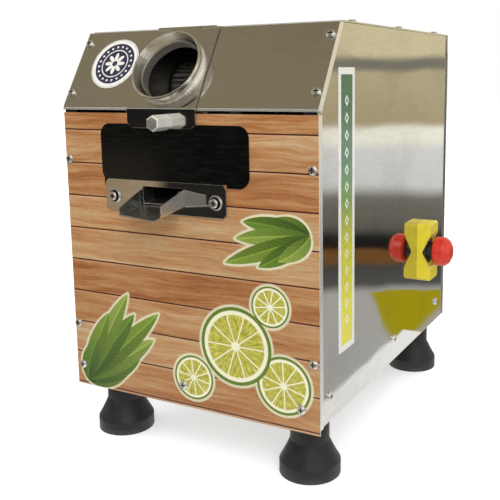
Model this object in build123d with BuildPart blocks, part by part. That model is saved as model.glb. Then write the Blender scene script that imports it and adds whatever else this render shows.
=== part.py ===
# Table-top sugarcane juicer: sheet-steel cabinet on rubber feet, slanted feed mouth on a
# hinged hatch, three geared crushing rollers, a juice spout in front and a husk chute behind.
# Millimetres, +Z up, front towards -Y. The origin is on the floor under the middle of the box.
import os
from math import acos, atan2, cos, hypot, pi, radians, sin, tan

from build123d import *

os.makedirs("parts", exist_ok=True)

# Cabinet
cabinet_width = 305.0
cabinet_depth = 415.0
front_height = 308.0
slant_gap = 6.0
slant_run = 50.0
slant_rise = 81.0
ground_clearance = 62.0
side_lift = 5.0
sheet = 1.5
panel_edge_radius = 1.2
flange_width = 14.0
flange_foot = 50.0
return_depth = 8.0
slant_nose = 3.0
slant_nose_bend = 4.0
slant_lip = 7.0
slant_top_lip = 12.0
roof_setback = 6.0
roof_rear_lip = 27.0
roof_bend = 2.5
rear_top_drop = 23.0
pan_sheet = 2.0
pan_wall = 42.0
rail_leg = 22.0
rail_thickness = 3.0

# Clearances
fastener_clearance = 0.1
running_clearance = 0.05
mating_gap = 0.4

# Panel screws: size, and places measured in from the panels' edges
screw_head_radius = 5.0
screw_head_height = 3.0
screw_shoulder_radius = 4.7
screw_shoulder_height = 1.6
screw_crown_radius = 3.1
screw_radius = 2.4
screw_length = 9.0
screw_recess = 1.4
screw_recess_width = 1.2
screw_recess_span = 5.4
screw_edge_inset = 6.0
front_screw_foot = 72.0
front_screw_drop = 50.0
front_row_height = 24.0
front_row_left_inset = 9.5
front_row_right_inset = 19.5
slant_screw_foot = 17.0
slant_screw_drop = 16.0
side_screw_rise = 27.0
side_screw_front = 24.0
side_screw_middle = 205.0
side_screw_rear = 34.0
roof_screw_front = 42.0
roof_screw_rear = 39.0
rear_screw_foot = 20.0
rear_screw_drop = 42.0

# Feet and bolts through the base
foot_radius = 32.0
foot_neck_radius = 20.5
foot_waist_radius = 25.8
foot_rim = 14.0
foot_edge = 3.0
foot_shoulder = 36.0
foot_side_inset = 32.0
foot_front_inset = 43.0
foot_rear_inset = 39.5
foot_recess_radius = 12.0
foot_recess_depth = 14.0
foot_bolt_radius = 5.0
foot_bolt_flats = 16.5
foot_bolt_head = 6.5
foot_nut_height = 8.0
floor_bolt_radius = 4.0
floor_bolt_flats = 13.0
floor_bolt_head = 5.3
floor_bolt_tail = 2.0

# Feed hatch, mouth and hinge
feed_rise = 41.3
hatch_overlap = 4.0
hatch_tab_drop = 21.0
hatch_tab_gap = 1.1
hatch_tab_corner = 8.0
hatch_bend = 3.0
mouth_radius = 33.5
mouth_wall = 2.0
mouth_side_gap = 2.5
mouth_spigot = 6.0
mouth_throat = 4.0
mouth_height = 15.2
mouth_weld = 3.0
mouth_neck_step = 1.0
mouth_lip_radius = 40.0
mouth_lip_height = 4.2
mouth_lip_slope = 1.5
mouth_lip_bevel = 1.2
mouth_lip_flat = 1.0
hinge_pin_radius = 1.2
hinge_knuckle_radius = 2.9
hinge_side_gap = 2.0
hinge_middle = 36.0
hinge_leaf_width = 15.0
hinge_leaf_thickness = 1.0
hinge_leaf_setback = 4.6
hinge_relief = 2.6
hinge_setback = 0.8
knob_shift = 7.5
knob_rise = 6.5
knob_flats = 14.0
knob_length = 24.0
knob_turn = 30.0
knob_chamfer = 1.2
knob_screw_radius = 3.0
knob_screw_head = 4.6
knob_screw_depth = 12.0
knob_hole_spare = 1.0

# Juice outlet and bare plate on the front
plate_shift = 10.5
plate_width = 181.0
plate_height = 61.0
plate_drop = 11.0
plate_corner = 12.0
plate_thickness = 0.6
outlet_width = 150.0
outlet_height = 33.4
outlet_drop = 69.0
outlet_corner = 6.0
outlet_thickness = 2.0
outlet_screw_inset = 12.0
outlet_screw_rise = 15.4
cup_radius = 7.8
cup_rim_radius = 6.9
cup_groove_radius = 6.3
cup_height = 2.0
cup_floor = 0.6
cap_radius = 4.6
cap_height = 3.0
cap_edge = 1.0
cap_socket = 4.0
cap_socket_depth = 2.5
spout_width = 52.0
spout_rise = 8.4
spout_depth = 18.5
spout_reach = 52.0
spout_drop = 7.0
spout_bend = 3.0
spout_lip = 10.5
spout_lip_curl = 0.5
spout_left_drop = 16.0
spout_right_drop = 11.5
tray_sheet = 1.2
tray_slope = 4.0
tray_gap = 0.5
tray_top_gap = 2.0
tray_tongue_gap = 1.5
tray_tongue_reach = 6.0
tray_neck = 12.0
tray_shoulder_inset = 10.0
tray_rear_inset = 3.0
tray_side_gap = 1.5

# Crushing rollers and their gears
pressure_angle = 20.0
gear_module = 3.0
gear_teeth = 22
gear_width = 18.0
gear_dedendum = 1.25
gear_backlash = 0.25
gear_gap = 4.0
roller_gap = 2.0
roller_length = 100.0
roller_end_gap = 2.0
knurl_count = 44
knurl_depth = 1.3
shaft_radius = 12.5
shaft_tail = 2.0
shaft_chamfer = 1.0
nip_depth = 93.0
discharge_angle = 42.0
cheek_thickness = 12.0
cheek_front_margin = 3.5
cheek_rear_margin = 52.7
cheek_top_margin = 11.6
bush_wall = 3.5
bush_flange = 4.0
bush_flange_thickness = 2.0
tie_radius = 6.0
tie_nut_height = 7.0
tie_nut_flats = 16.0
tie_front_inset = 22.0
tie_rear_inset = 15.0
tie_chute_inset = 9.0
tie_top_inset = (25.0, 20.0)
angle_leg = 30.0
angle_thickness = 4.0
angle_length = 40.0
angle_front_inset = 10.0
angle_rear_inset = 25.0
turn_gap = 3.0
turn_thickness = 4.0
turn_clearance = 1.5
turn_web = 6.0
turn_web_height = 40.0
apron_flat = 18.0
apron_front = 6.0
apron_lift = 9.7
apron_gap = 3.0

# Drive
drive_module = 2.5
bull_teeth = 40
pinion_teeth = 20
drive_angle = 40.0
drive_hole_radius = 8.0
drive_hole_count = 6
pinion_shaft_radius = 10.0
pinion_shaft_depth = 20.0
gearbox_gap = 4.0
gearbox_width = 56.0
gearbox_length = 100.0
gearbox_above = 45.0
gearbox_below = 85.0
gearbox_corner = 8.0
gearbox_boss_radius = 30.0
gearbox_boss_height = 2.5
worm_offset = 50.0
motor_radius = 44.0
motor_fin_height = 4.0
motor_fin_thickness = 2.4
motor_fin_count = 28
motor_flange_thickness = 12.0
motor_length = 128.0
motor_pad_width = 48.0
motor_pad_height = 2.0
motor_wall_gap = 3.0
cowl_length = 36.0
cowl_wall = 1.5
cowl_end_wall = 8.0
cowl_slot_count = 12
cowl_slot_width = 4.0
cowl_slot_length = 24.0
terminal_width = 60.0
terminal_height = 28.0
terminal_start = 34.0
terminal_corner = 4.0
stand_sheet = 4.0
stand_flange = 20.0
stand_inset = 4.0

# Emergency stop on the right side
estop_rear_inset = 101.5
estop_height = 119.5
estop_reach = 41.0
estop_travel = 4.0
estop_hole_gap = 0.3
guard_half_width = 18.0
guard_half_height = 37.0
guard_base = 6.0
guard_waist = 7.0
guard_ear_height = 17.0
guard_notch = 22.5
guard_corner = 5.0
guard_edge = 1.5
guard_head_gap = 1.5
bezel_sleeve_radius = 14.5
bezel_radius = 16.5
bezel_height = 5.0
bezel_depth = 22.0
bezel_edge = 1.5
stem_radius = 11.0
stem_neck_radius = 7.0
stem_tail_gap = 2.0
stem_top = 17.5
stem_neck_top = 29.5
head_radius = 18.5
head_root_radius = 15.5
head_rim = 20.5
head_edge = 32.0
head_shoulder_radius = 14.5
head_shoulder_drop = 3.6
head_crown_radius = 8.5
head_crown_drop = 0.7
head_round = 3.0
estop_nut_flats = 40.0
estop_nut_height = 5.5
contact_block_size = 30.0
contact_block_length = 30.0
contact_block_corner = 1.5

# Husk chute, rear collar, vents and cable gland
chute_sheet = 1.5
chute_wall = 42.0
chute_slope = 12.0
chute_reach = 36.0
chute_gap = 2.7
chute_below = 12.0
collar_margin = 15.0
collar_corner = 5.0
collar_thickness = 2.0
collar_play = 1.5
vent_count = 7
vent_pitch = 11.0
vent_width = 4.0
vent_height = 70.0
vent_side_inset = 62.5
vent_drop = 147.0
gland_side_inset = 37.5
gland_rise = 70.0
gland_bore = 4.5
gland_thread_radius = 8.0
gland_thread_length = 17.0
gland_flats = 24.0
gland_hex_height = 6.0
gland_cap_radius = 10.0
gland_cap_length = 12.0
gland_cap_chamfer = 1.5
gland_nut_height = 5.0
lead_radius = 3.5
lead_bend = 10.0
lead_start_gap = 10.0
lead_riser_gap = 9.0

# Where the cabinet stands: origin under the middle of the whole box
half_width = cabinet_width / 2
side_face = half_width - sheet
mid_x = -(estop_reach - screw_head_height) / 2
front_y = -(cabinet_depth + chute_reach - spout_reach) / 2

# Slanted face: foot, top, length and direction
slant_foot = front_height + slant_gap
ridge_height = slant_foot + slant_rise
slant_length = hypot(slant_run, slant_rise)
slant_sin = slant_run / slant_length
slant_cos = slant_rise / slant_length
slant_normal = (0, -slant_cos, slant_sin)


# Places are given from the cabinet's middle, its front face and the front panel's bottom edge
def at(x, y, z):
    return (mid_x + x, front_y + y, ground_clearance + z)


def facing_right(x, y=0.0, z=0.0):
    return Plane(origin=at(x, y, z), x_dir=(0, 1, 0), z_dir=(1, 0, 0))


def facing_left(x, y, z):
    return Plane(origin=at(x, y, z), x_dir=(0, -1, 0), z_dir=(-1, 0, 0))


def facing_front(y, x, z):
    return Plane(origin=at(x, y, z), x_dir=(1, 0, 0), z_dir=(0, -1, 0))


def facing_rear(y, x, z):
    return Plane(origin=at(x, y, z), x_dir=(-1, 0, 0), z_dir=(0, 1, 0))


def facing_up(z, x, y):
    return Plane(origin=at(x, y, z))


# A point up the slant and out from it, as depth and height in the cabinet
def slant_point(rise, out):
    return (rise * slant_sin - out * slant_cos, slant_foot + rise * slant_cos + out * slant_sin)


def on_slant(x, rise):
    return Plane(origin=at(x, *slant_point(rise, 0)), x_dir=(1, 0, 0), z_dir=slant_normal)


def span(centre, width):
    return (centre - width / 2, centre + width / 2)


# A box between three pairs of limits
def block(x_span, y_span, z_span, mode=Mode.ADD):
    with Locations(at(sum(x_span) / 2, sum(y_span) / 2, sum(z_span) / 2)):
        Box(x_span[1] - x_span[0], y_span[1] - y_span[0], z_span[1] - z_span[0], mode=mode)


# A side outline of depth and height points, carried across the cabinet
def prism(outline, x_span, mode=Mode.ADD):
    with BuildSketch(facing_right(x_span[0])) as face:
        with BuildLine():
            Polyline(*outline, close=True)
        make_face()
    extrude(face.sketch, amount=x_span[1] - x_span[0], mode=mode)


# A round bar along the cabinet's width
def bar(radius, x_span, y, z, mode=Mode.ADD):
    with BuildSketch(facing_right(x_span[0], y, z)) as face:
        Circle(radius)
    extrude(face.sketch, amount=x_span[1] - x_span[0], mode=mode)


# A disc or a hexagon standing on a plane, and a hexagonal nut with its hole
def disc(plane, radius, height, mode=Mode.ADD):
    with BuildSketch(plane) as face:
        Circle(radius)
    extrude(face.sketch, amount=height, mode=mode)


def hexagon(plane, flats, height, turn=0, mode=Mode.ADD):
    with BuildSketch(plane) as face:
        RegularPolygon(flats / 2, 6, major_radius=False, rotation=turn)
    extrude(face.sketch, amount=height, mode=mode)


def nut(plane, flats, height, thread_radius):
    with BuildSketch(plane) as face:
        RegularPolygon(flats / 2, 6, major_radius=False)
        Circle(thread_radius + fastener_clearance, mode=Mode.SUBTRACT)
    extrude(face.sketch, amount=height)


# A turned piece: radius and height points round a plane's normal
def turned(plane, outline):
    section = Plane(origin=plane.origin, x_dir=plane.x_dir, z_dir=plane.x_dir.cross(plane.z_dir))
    with BuildSketch(section) as face:
        with BuildLine():
            Polyline(*outline, close=True)
        make_face()
    revolve(face.sketch, axis=Axis(plane.origin, plane.z_dir))


def drill(planes, radius, depth):
    with Locations(*planes):
        Cylinder(radius, 2 * depth, mode=Mode.SUBTRACT)


def write(piece, name):
    piece.part.label = name
    export_step(piece.part, f"parts/{name}.step")


# Side outline a set distance inside the casing's outer faces, front bottom corner first
def casing_profile(inset, bottom):
    fold = slant_point(inset * (1 - slant_cos) / slant_sin, -inset)
    ridge_z = ridge_height - inset
    ridge = slant_point((ridge_z - slant_foot + inset * slant_sin) / slant_cos, -inset)
    rear = cabinet_depth - sheet - inset
    return [(inset, bottom), fold, ridge, (rear, ridge_z), (rear, bottom)]


# Panel screw places, each a plane on the face that the head sits on
def between(first, last):
    return (first, (first + last) / 2, last)


screw_hole = screw_radius + fastener_clearance
edge_x = half_width - screw_edge_inset
flange_x = side_face - flange_width / 2
roof_front = slant_run + roof_setback
rear_top = ridge_height - rear_top_drop
front_screw_z = (front_screw_foot, front_height - front_screw_drop)
slant_screw_u = (slant_screw_foot, slant_length - slant_screw_drop)
side_screw_y = (side_screw_front, cabinet_depth - side_screw_middle, cabinet_depth - side_screw_rear)
side_screw_z = side_lift + side_screw_rise
roof_screw_y = between(roof_front + roof_screw_front, cabinet_depth - roof_screw_rear)
rear_screw_z = between(flange_foot + rear_screw_foot, rear_top - rear_screw_drop)
front_row_x = between(front_row_left_inset - half_width, half_width - front_row_right_inset)
front_places = [facing_front(0, x, z) for x in (-edge_x, edge_x) for z in front_screw_z]
front_row = [facing_front(0, x, front_row_height) for x in front_row_x]
slant_places = [on_slant(x, rise) for x in (-edge_x, edge_x) for rise in slant_screw_u]
right_places = [facing_right(side_face, y, side_screw_z) for y in side_screw_y]
left_places = [facing_left(-side_face, y, side_screw_z) for y in side_screw_y]
roof_places = [facing_up(ridge_height, x, y) for x in (-flange_x, flange_x) for y in roof_screw_y]
rear_places = [facing_rear(cabinet_depth, x, z) for x in (-flange_x, flange_x) for z in rear_screw_z]

# Across the cabinet from the right wall: motor, gearbox, bull gear, cheeks, and the feed between them
fin_radius = motor_radius + motor_fin_height
drive_half_width = max(fin_radius, gearbox_width / 2 + gearbox_boss_height)
motor_x = side_face - sheet - motor_wall_gap - drive_half_width
gearbox_x = span(motor_x, gearbox_width)
bull_x1 = gearbox_x[0] - gearbox_gap
bull_x0 = bull_x1 - gear_width
bush_end = bull_x0 - gear_gap
right_cheek_x = (bush_end - bush_flange_thickness - cheek_thickness, bush_end - bush_flange_thickness)
cheek_spacing = roller_length + 2 * roller_end_gap
right_inner = right_cheek_x[0]
left_inner = right_inner - cheek_spacing
left_cheek_x = (left_inner - cheek_thickness, left_inner)
feed_x = (left_inner + right_inner) / 2
gear_x1 = left_cheek_x[0] - bush_flange_thickness - gear_gap
gear_x0 = gear_x1 - gear_width

# Roller axes, and the cheek plates that carry them
roller_pitch = gear_module * gear_teeth
roller_radius = (roller_pitch - roller_gap) / 2
top_y, top_z = slant_point(feed_rise + roller_pitch / 2, -nip_depth)
feed_y, feed_z = slant_point(feed_rise - roller_pitch / 2, -nip_depth)
out_y = top_y + roller_pitch * sin(radians(discharge_angle))
out_z = top_z - roller_pitch * cos(radians(discharge_angle))
roller_axes = {"top": (top_y, top_z), "feed": (feed_y, feed_z), "discharge": (out_y, out_z)}
cheek_front = feed_y - roller_radius - cheek_front_margin
cheek_rear = out_y + cheek_rear_margin
cheek_top = top_z + roller_radius + cheek_top_margin
bush_radius = shaft_radius + running_clearance + bush_wall

# Juice outlet, spout and tray heights
outlet_x = span(feed_x, outlet_width)
outlet_top = front_height - outlet_drop
outlet_foot = outlet_top - outlet_height
outlet_screw_x = outlet_width / 2 - outlet_screw_inset
outlet_screw_z = outlet_foot + outlet_screw_rise
outlet_places = [facing_front(0, feed_x + side * outlet_screw_x, outlet_screw_z) for side in (-1, 1)]
spout_foot = outlet_foot + spout_rise
spout_top = spout_foot + spout_depth
spout_slot = (spout_foot - mating_gap, spout_top + mating_gap)
tray_tilt = radians(tray_slope)
tray_front = spout_foot + sheet + tray_gap
tray_wall = spout_depth - sheet - tray_top_gap
tray_width = cheek_spacing - 2 * tray_side_gap


def tray_foot(y):
    return tray_front + y * tan(tray_tilt)


# Husk chute line, and the collar round it on the back
chute_width = cheek_spacing - 2 * tray_side_gap
chute_front = out_y + roller_radius + chute_gap
chute_rear = cabinet_depth + chute_reach
chute_tilt = radians(chute_slope)
chute_wall_upright = chute_wall / cos(chute_tilt)


def chute_foot(y):
    return out_z - chute_below - (y - chute_front) * tan(chute_tilt)


collar_rear = cabinet_depth + collar_thickness
chute_hole_foot = chute_foot(collar_rear) - collar_play
chute_hole_top = chute_foot(cabinet_depth - 2 * sheet) + chute_wall_upright + collar_play
collar_x = span(feed_x, chute_width + 2 * collar_margin)
collar_z = (chute_hole_foot - collar_margin, chute_hole_top + collar_margin)
collar_screw_x = (chute_width + collar_margin) / 2
collar_screw_z = (chute_hole_foot - collar_margin / 2, chute_hole_top + collar_margin / 2)
collar_screw_xz = [(feed_x + side * collar_screw_x, z) for side in (-1, 1) for z in collar_screw_z]
collar_places = [facing_rear(collar_rear, x, z) for x, z in collar_screw_xz]

# Tie rods between the cheeks: two under the tray, one under the chute, one at the top
tray_tie_drop = tie_radius / cos(tray_tilt) + running_clearance
chute_tie_drop = tie_radius / cos(chute_tilt) + running_clearance
tray_tie_y = (cheek_front + tie_front_inset, cheek_rear - tie_rear_inset)
chute_tie_y = chute_front + tie_chute_inset
tie_places = [(y, tray_foot(y) - tray_tie_drop) for y in tray_tie_y]
tie_places.append((chute_tie_y, chute_foot(chute_tie_y) - chute_tie_drop))
tie_places.append((cheek_rear - tie_top_inset[0], cheek_top - tie_top_inset[1]))

# Pinion, gearbox and motor places
drive_pitch = drive_module * (bull_teeth + pinion_teeth) / 2
pinion_y = top_y + drive_pitch * sin(radians(drive_angle))
pinion_z = top_z - drive_pitch * cos(radians(drive_angle))
gearbox_y = span(pinion_y, gearbox_length)
gearbox_z = (pinion_z - gearbox_below, pinion_z + gearbox_above)
motor_z = pinion_z - worm_offset
motor_front = gearbox_y[1] + motor_flange_thickness
motor_rear = motor_front + motor_length
terminal_x = span(motor_x, terminal_width)
terminal_y = (motor_front + terminal_start, motor_front + terminal_start + terminal_width)
terminal_foot = motor_z + fin_radius + motor_pad_height

# Base pan, feet and floor fixings
pan_x = span(0, 2 * (side_face - sheet))
pan_y = (sheet, cabinet_depth - 2 * sheet)
pan_floor = side_lift + pan_sheet
foot_x = half_width - foot_side_inset
foot_rear = cabinet_depth - foot_rear_inset
foot_spots = {
    "front_left_foot": (-foot_x, foot_front_inset),
    "front_right_foot": (foot_x, foot_front_inset),
    "rear_left_foot": (-foot_x, foot_rear),
    "rear_right_foot": (foot_x, foot_rear),
}
floor_bolt_hole = floor_bolt_radius + fastener_clearance
angle_x = (left_cheek_x[0] - angle_leg / 2, right_cheek_x[1] + angle_leg / 2)
angle_y = (cheek_front + angle_front_inset, cheek_rear - angle_rear_inset - angle_length)
angle_top = pan_floor + angle_thickness
angle_bolts = [facing_up(angle_top, x, y + angle_length / 2) for x in angle_x for y in angle_y]
stand_y = (gearbox_y[0] + stand_inset, gearbox_y[1] - stand_inset)
stand_bolt_x = (gearbox_x[0] + stand_flange / 2, gearbox_x[1] - stand_flange / 2)
stand_bolt_y = (stand_y[0] - stand_flange / 2, stand_y[1] + stand_flange / 2)
stand_bolts = [facing_up(pan_floor + stand_sheet, x, y) for x in stand_bolt_x for y in stand_bolt_y]

# Base pan with turned-up walls
with BuildPart() as base_pan:
    block(pan_x, pan_y, (side_lift, side_lift + pan_wall))
    inner_x = (pan_x[0] + pan_sheet, pan_x[1] - pan_sheet)
    inner_y = (pan_y[0] + pan_sheet, pan_y[1] - pan_sheet)
    block(inner_x, inner_y, (pan_floor, side_lift + 2 * pan_wall), mode=Mode.SUBTRACT)
    foot_places = [facing_up(side_lift, x, y) for x, y in foot_spots.values()]
    drill(foot_places, foot_bolt_radius + fastener_clearance, pan_wall)
    drill(angle_bolts + stand_bolts, floor_bolt_hole, pan_wall)
    drill(front_row + left_places + right_places, screw_hole, screw_length)
write(base_pan, "base_pan")


# Side panels, folded inwards along the front, slant, top and rear edges
def side_panel(skin, fold, screw_places):
    prism(casing_profile(sheet, side_lift), skin)
    outer = casing_profile(sheet, flange_foot)
    inner = casing_profile(2 * sheet, flange_foot)
    prism(outer + inner[::-1], fold)
    drill(screw_places + front_places + slant_places + roof_places + rear_places, screw_hole, screw_length)


with BuildPart() as left_side_panel:
    side_panel((-side_face, sheet - side_face), (sheet - side_face, flange_width - side_face), left_places)
write(left_side_panel, "left_side_panel")

estop_y = cabinet_depth - estop_rear_inset
estop_face = facing_right(side_face, estop_y, estop_height)
estop_hole = bezel_sleeve_radius + estop_hole_gap
with BuildPart() as right_side_panel:
    side_panel((side_face - sheet, side_face), (side_face - flange_width, side_face - sheet), right_places)
    drill([estop_face], estop_hole, screw_length)
write(right_side_panel, "right_side_panel")

# Front panel with edges folded back round the sides and a slot for the spout
with BuildPart() as front_panel:
    block((-half_width, half_width), (0, sheet), (0, front_height))
    for wing in ((-half_width, -side_face), (side_face, half_width)):
        block(wing, (0, return_depth), (side_lift, front_height))
    fillet(front_panel.edges().filter_by(Axis.Z).group_by(Axis.Y)[0], panel_edge_radius)
    slot_x = span(feed_x, spout_width + 2 * mating_gap)
    block(slot_x, (-sheet, 2 * sheet), spout_slot, mode=Mode.SUBTRACT)
    drill(front_places + front_row + outlet_places, screw_hole, screw_length)
write(front_panel, "front_panel")


# Slanted panels beside the hatch: sheet, folded side edge, upright nose with a lip, top lip under the roof
def slant_panel(skin, lips, wing):
    top_rise = (slant_rise - sheet) / slant_cos

    def strip(depth):
        lean = depth * slant_sin / slant_cos
        top = [slant_point(top_rise, 0), slant_point(top_rise + lean, -depth)]
        return [slant_point(0, 0), *top, slant_point(0, -depth)]

    nose_foot = slant_foot - slant_nose
    nose_inside = slant_point(sheet * (1 - slant_cos) / slant_sin, -sheet)
    prism(strip(sheet), skin)
    prism(strip(return_depth), wing)
    prism([(0, slant_foot), (0, nose_foot), (sheet, nose_foot), nose_inside], skin)
    fillet(edges().filter_by(Axis.X).group_by(Axis.Y)[0].sort_by(Axis.Z)[-1], slant_nose_bend)
    block(lips, (0, slant_lip), (nose_foot, nose_foot + sheet))
    ledge_y = slant_run + slant_top_lip
    ledge_rear = [(ledge_y, ridge_height - sheet), (ledge_y, ridge_height - 2 * sheet)]
    prism([slant_point(top_rise, 0), *ledge_rear, slant_point(top_rise - sheet / slant_cos, 0)], lips)
    drill(slant_places, screw_hole, screw_length)


lip_limit = side_face - flange_width - fastener_clearance
seat_radius = mouth_radius + mouth_wall
hatch_slot = span(feed_x, 2 * (seat_radius + mouth_side_gap))
with BuildPart() as left_slant_panel:
    slant_panel((-half_width, hatch_slot[0]), (-lip_limit, hatch_slot[0]), (-half_width, -side_face))
write(left_slant_panel, "left_slant_panel")

with BuildPart() as right_slant_panel:
    slant_panel((hatch_slot[1], half_width), (hatch_slot[1], lip_limit), (side_face, half_width))
write(right_slant_panel, "right_slant_panel")

# Roof folded down at the back, and the rear panel that laps over its lip
roof_rear = cabinet_depth - sheet
roof_inside = ridge_height - sheet
with BuildPart() as roof_panel:
    lip_foot = ridge_height - roof_rear_lip
    roof_lip = [(roof_rear, lip_foot), (roof_rear - sheet, lip_foot), (roof_rear - sheet, roof_inside)]
    roof_top = [(roof_front, roof_inside), (roof_front, ridge_height), (roof_rear, ridge_height)]
    prism(roof_top + roof_lip, (-half_width, half_width))
    bend = roof_panel.edges().filter_by(Axis.X).sort_by(lambda edge: edge.center().Y + edge.center().Z)[-1]
    fillet(bend, roof_bend)
    drill(roof_places, screw_hole, screw_length)
write(roof_panel, "roof_panel")

gland_x = half_width - gland_side_inset
gland_z = side_lift + gland_rise
gland_place = facing_rear(cabinet_depth, gland_x, gland_z)
with BuildPart() as rear_panel:
    block((-half_width, half_width), (roof_rear, cabinet_depth), (side_lift, rear_top))
    hole_x = span(feed_x, chute_width + 2 * collar_play)
    hole_y = (roof_rear - sheet, cabinet_depth + sheet)
    block(hole_x, hole_y, (chute_hole_foot, chute_hole_top), mode=Mode.SUBTRACT)
    with Locations(at(half_width - vent_side_inset, cabinet_depth, rear_top - vent_drop)):
        with GridLocations(vent_pitch, vent_pitch, vent_count, 1):
            Box(vent_width, 4 * sheet, vent_height, mode=Mode.SUBTRACT)
    drill(rear_places + collar_places, screw_hole, screw_length)
    drill([gland_place], gland_thread_radius + fastener_clearance, screw_length)
write(rear_panel, "rear_panel")

# Angle rail behind the gap between the front panel and the slant
with BuildPart() as front_rail:
    rail_x = (flange_width - side_face, side_face - flange_width)
    block(rail_x, (sheet, sheet + rail_leg), (front_height - rail_thickness, front_height))
    block(rail_x, (sheet, sheet + rail_thickness), (front_height - rail_leg, front_height))
write(front_rail, "front_rail")

# Rubber feet, waisted, with a recess for the bolt head
foot_top = ground_clearance + side_lift
for foot_name, (x, y) in foot_spots.items():
    with BuildPart() as foot:
        hub = Plane(origin=(mid_x + x, front_y + y, 0), x_dir=(1, 0, 0), z_dir=(0, -1, 0))
        bolt_hole = foot_bolt_radius + fastener_clearance
        with BuildSketch(hub):
            with BuildLine():
                Polyline(
                    (foot_neck_radius, foot_shoulder),
                    (foot_neck_radius, foot_top),
                    (bolt_hole, foot_top),
                    (bolt_hole, foot_recess_depth),
                    (foot_recess_radius, foot_recess_depth),
                    (foot_recess_radius, 0),
                    (foot_radius, 0),
                    (foot_radius, foot_rim),
                )
                waist = (foot_waist_radius, (foot_rim + foot_shoulder) / 2)
                ThreePointArc((foot_radius, foot_rim), waist, (foot_neck_radius, foot_shoulder))
            make_face()
        revolve(axis=Axis(hub.origin, (0, 0, 1)))
        fillet(foot.edges().filter_by(GeomType.CIRCLE).sort_by(Edge.radius)[-2:], foot_edge)
    write(foot, foot_name)

# Hexagon bolts and nuts through the pan: the feet from below, the cheek angles and stand from above
with BuildPart() as base_bolts:
    foot_seat = foot_recess_depth - ground_clearance
    foot_bolt_length = pan_floor + foot_nut_height - foot_seat
    for x, y in foot_spots.values():
        hexagon(facing_up(foot_seat - foot_bolt_head, x, y), foot_bolt_flats, foot_bolt_head)
        disc(facing_up(foot_seat, x, y), foot_bolt_radius, foot_bolt_length)
        nut(facing_up(pan_floor, x, y), foot_bolt_flats, foot_nut_height, foot_bolt_radius)
    for place in angle_bolts + stand_bolts:
        hexagon(place, floor_bolt_flats, floor_bolt_head)
        disc(place, floor_bolt_radius, side_lift - floor_bolt_tail - (place.origin.Z - ground_clearance))
write(base_bolts, "base_bolts")

# One cross-recessed panel screw, copied to every place
with BuildPart() as panel_screw:
    turned(
        Plane.XY,
        [
            (0, -screw_length),
            (screw_radius, -screw_length),
            (screw_radius, 0),
            (screw_head_radius, 0),
            (screw_shoulder_radius, screw_shoulder_height),
            (screw_crown_radius, screw_head_height),
            (0, screw_head_height),
        ],
    )
    with BuildSketch(Plane.XY.offset(screw_head_height)):
        Rectangle(screw_recess_span, screw_recess_width)
        Rectangle(screw_recess_width, screw_recess_span)
    extrude(amount=-screw_recess, mode=Mode.SUBTRACT)

with BuildPart() as panel_screws:
    cabinet_places = front_places + front_row + slant_places + left_places + right_places
    with Locations(*cabinet_places, *roof_places, *rear_places, *collar_places):
        add(panel_screw.part)
write(panel_screws, "panel_screws")

# Bare plate behind the hatch tab, notched round the outlet flange
with BuildPart() as name_plate:
    plate_z = front_height - plate_drop - plate_height / 2
    with BuildSketch(facing_front(0, feed_x + plate_shift, plate_z)):
        RectangleRounded(plate_width, plate_height, plate_corner)
    extrude(amount=plate_thickness)
    notch_x = (outlet_x[0] - mating_gap, outlet_x[1] + mating_gap)
    notch_z = (outlet_foot, outlet_top + mating_gap)
    block(notch_x, (-2 * plate_thickness, plate_thickness), notch_z, mode=Mode.SUBTRACT)
write(name_plate, "name_plate")


# Juice outlet: flange, bent spout with its walls and lip cut askew, and two capped screws on cup washers
def spout_floor(y):
    return spout_foot + spout_drop * y / spout_reach


with BuildPart() as outlet_flange:
    with BuildSketch(facing_front(0, feed_x, outlet_top - outlet_height / 2)):
        RectangleRounded(outlet_width, outlet_height, outlet_corner)
    extrude(amount=outlet_thickness)
    slot_y = (-2 * outlet_thickness, outlet_thickness)
    block(span(feed_x, spout_width), slot_y, spout_slot, mode=Mode.SUBTRACT)
    drill(outlet_places, screw_hole, screw_length)
write(outlet_flange, "outlet_flange")

with BuildPart() as juice_spout:
    wall_end = spout_lip - spout_reach
    lip_left, lip_right = span(feed_x, spout_width)
    channel_height = 2 * spout_depth
    channel_inside = spout_width - 2 * sheet
    downhill = (0, -spout_reach, -spout_drop)
    with BuildSketch(Plane(origin=at(feed_x, 0, spout_foot), x_dir=(1, 0, 0), z_dir=downhill)):
        with Locations((0, channel_height / 2)):
            RectangleRounded(spout_width, channel_height, spout_bend)
        with Locations((0, channel_height / 2 + sheet)):
            RectangleRounded(channel_inside, channel_height, spout_bend - sheet, mode=Mode.SUBTRACT)
    extrude(amount=2 * spout_reach, both=True)
    lip_top = sheet + spout_lip_curl
    side_view = [
        (sheet, outlet_foot),
        (sheet, spout_top),
        (0, spout_top),
        (wall_end, spout_top - spout_right_drop),
        (wall_end, spout_floor(wall_end) + lip_top),
        (-spout_reach, spout_floor(-spout_reach) + lip_top),
        (-spout_reach, outlet_foot - spout_drop),
        (0, outlet_foot - spout_drop),
    ]
    prism(side_view, (lip_left, lip_right), mode=Mode.INTERSECT)
    left_cut = [
        (0, spout_top),
        (2 * wall_end, spout_top),
        (2 * wall_end, spout_top - 2 * spout_left_drop),
    ]
    prism(left_cut, (lip_left, lip_left + spout_bend), mode=Mode.SUBTRACT)
    lip_cut = [
        (lip_left, wall_end),
        (lip_right, -spout_reach),
        (lip_right, -2 * spout_reach),
        (lip_left, -2 * spout_reach),
    ]
    with BuildSketch(Plane(origin=at(0, 0, outlet_foot - spout_drop))):
        with BuildLine():
            Polyline(*lip_cut, close=True)
        make_face()
    extrude(amount=outlet_height + spout_drop, mode=Mode.SUBTRACT)
write(juice_spout, "juice_spout")

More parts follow.
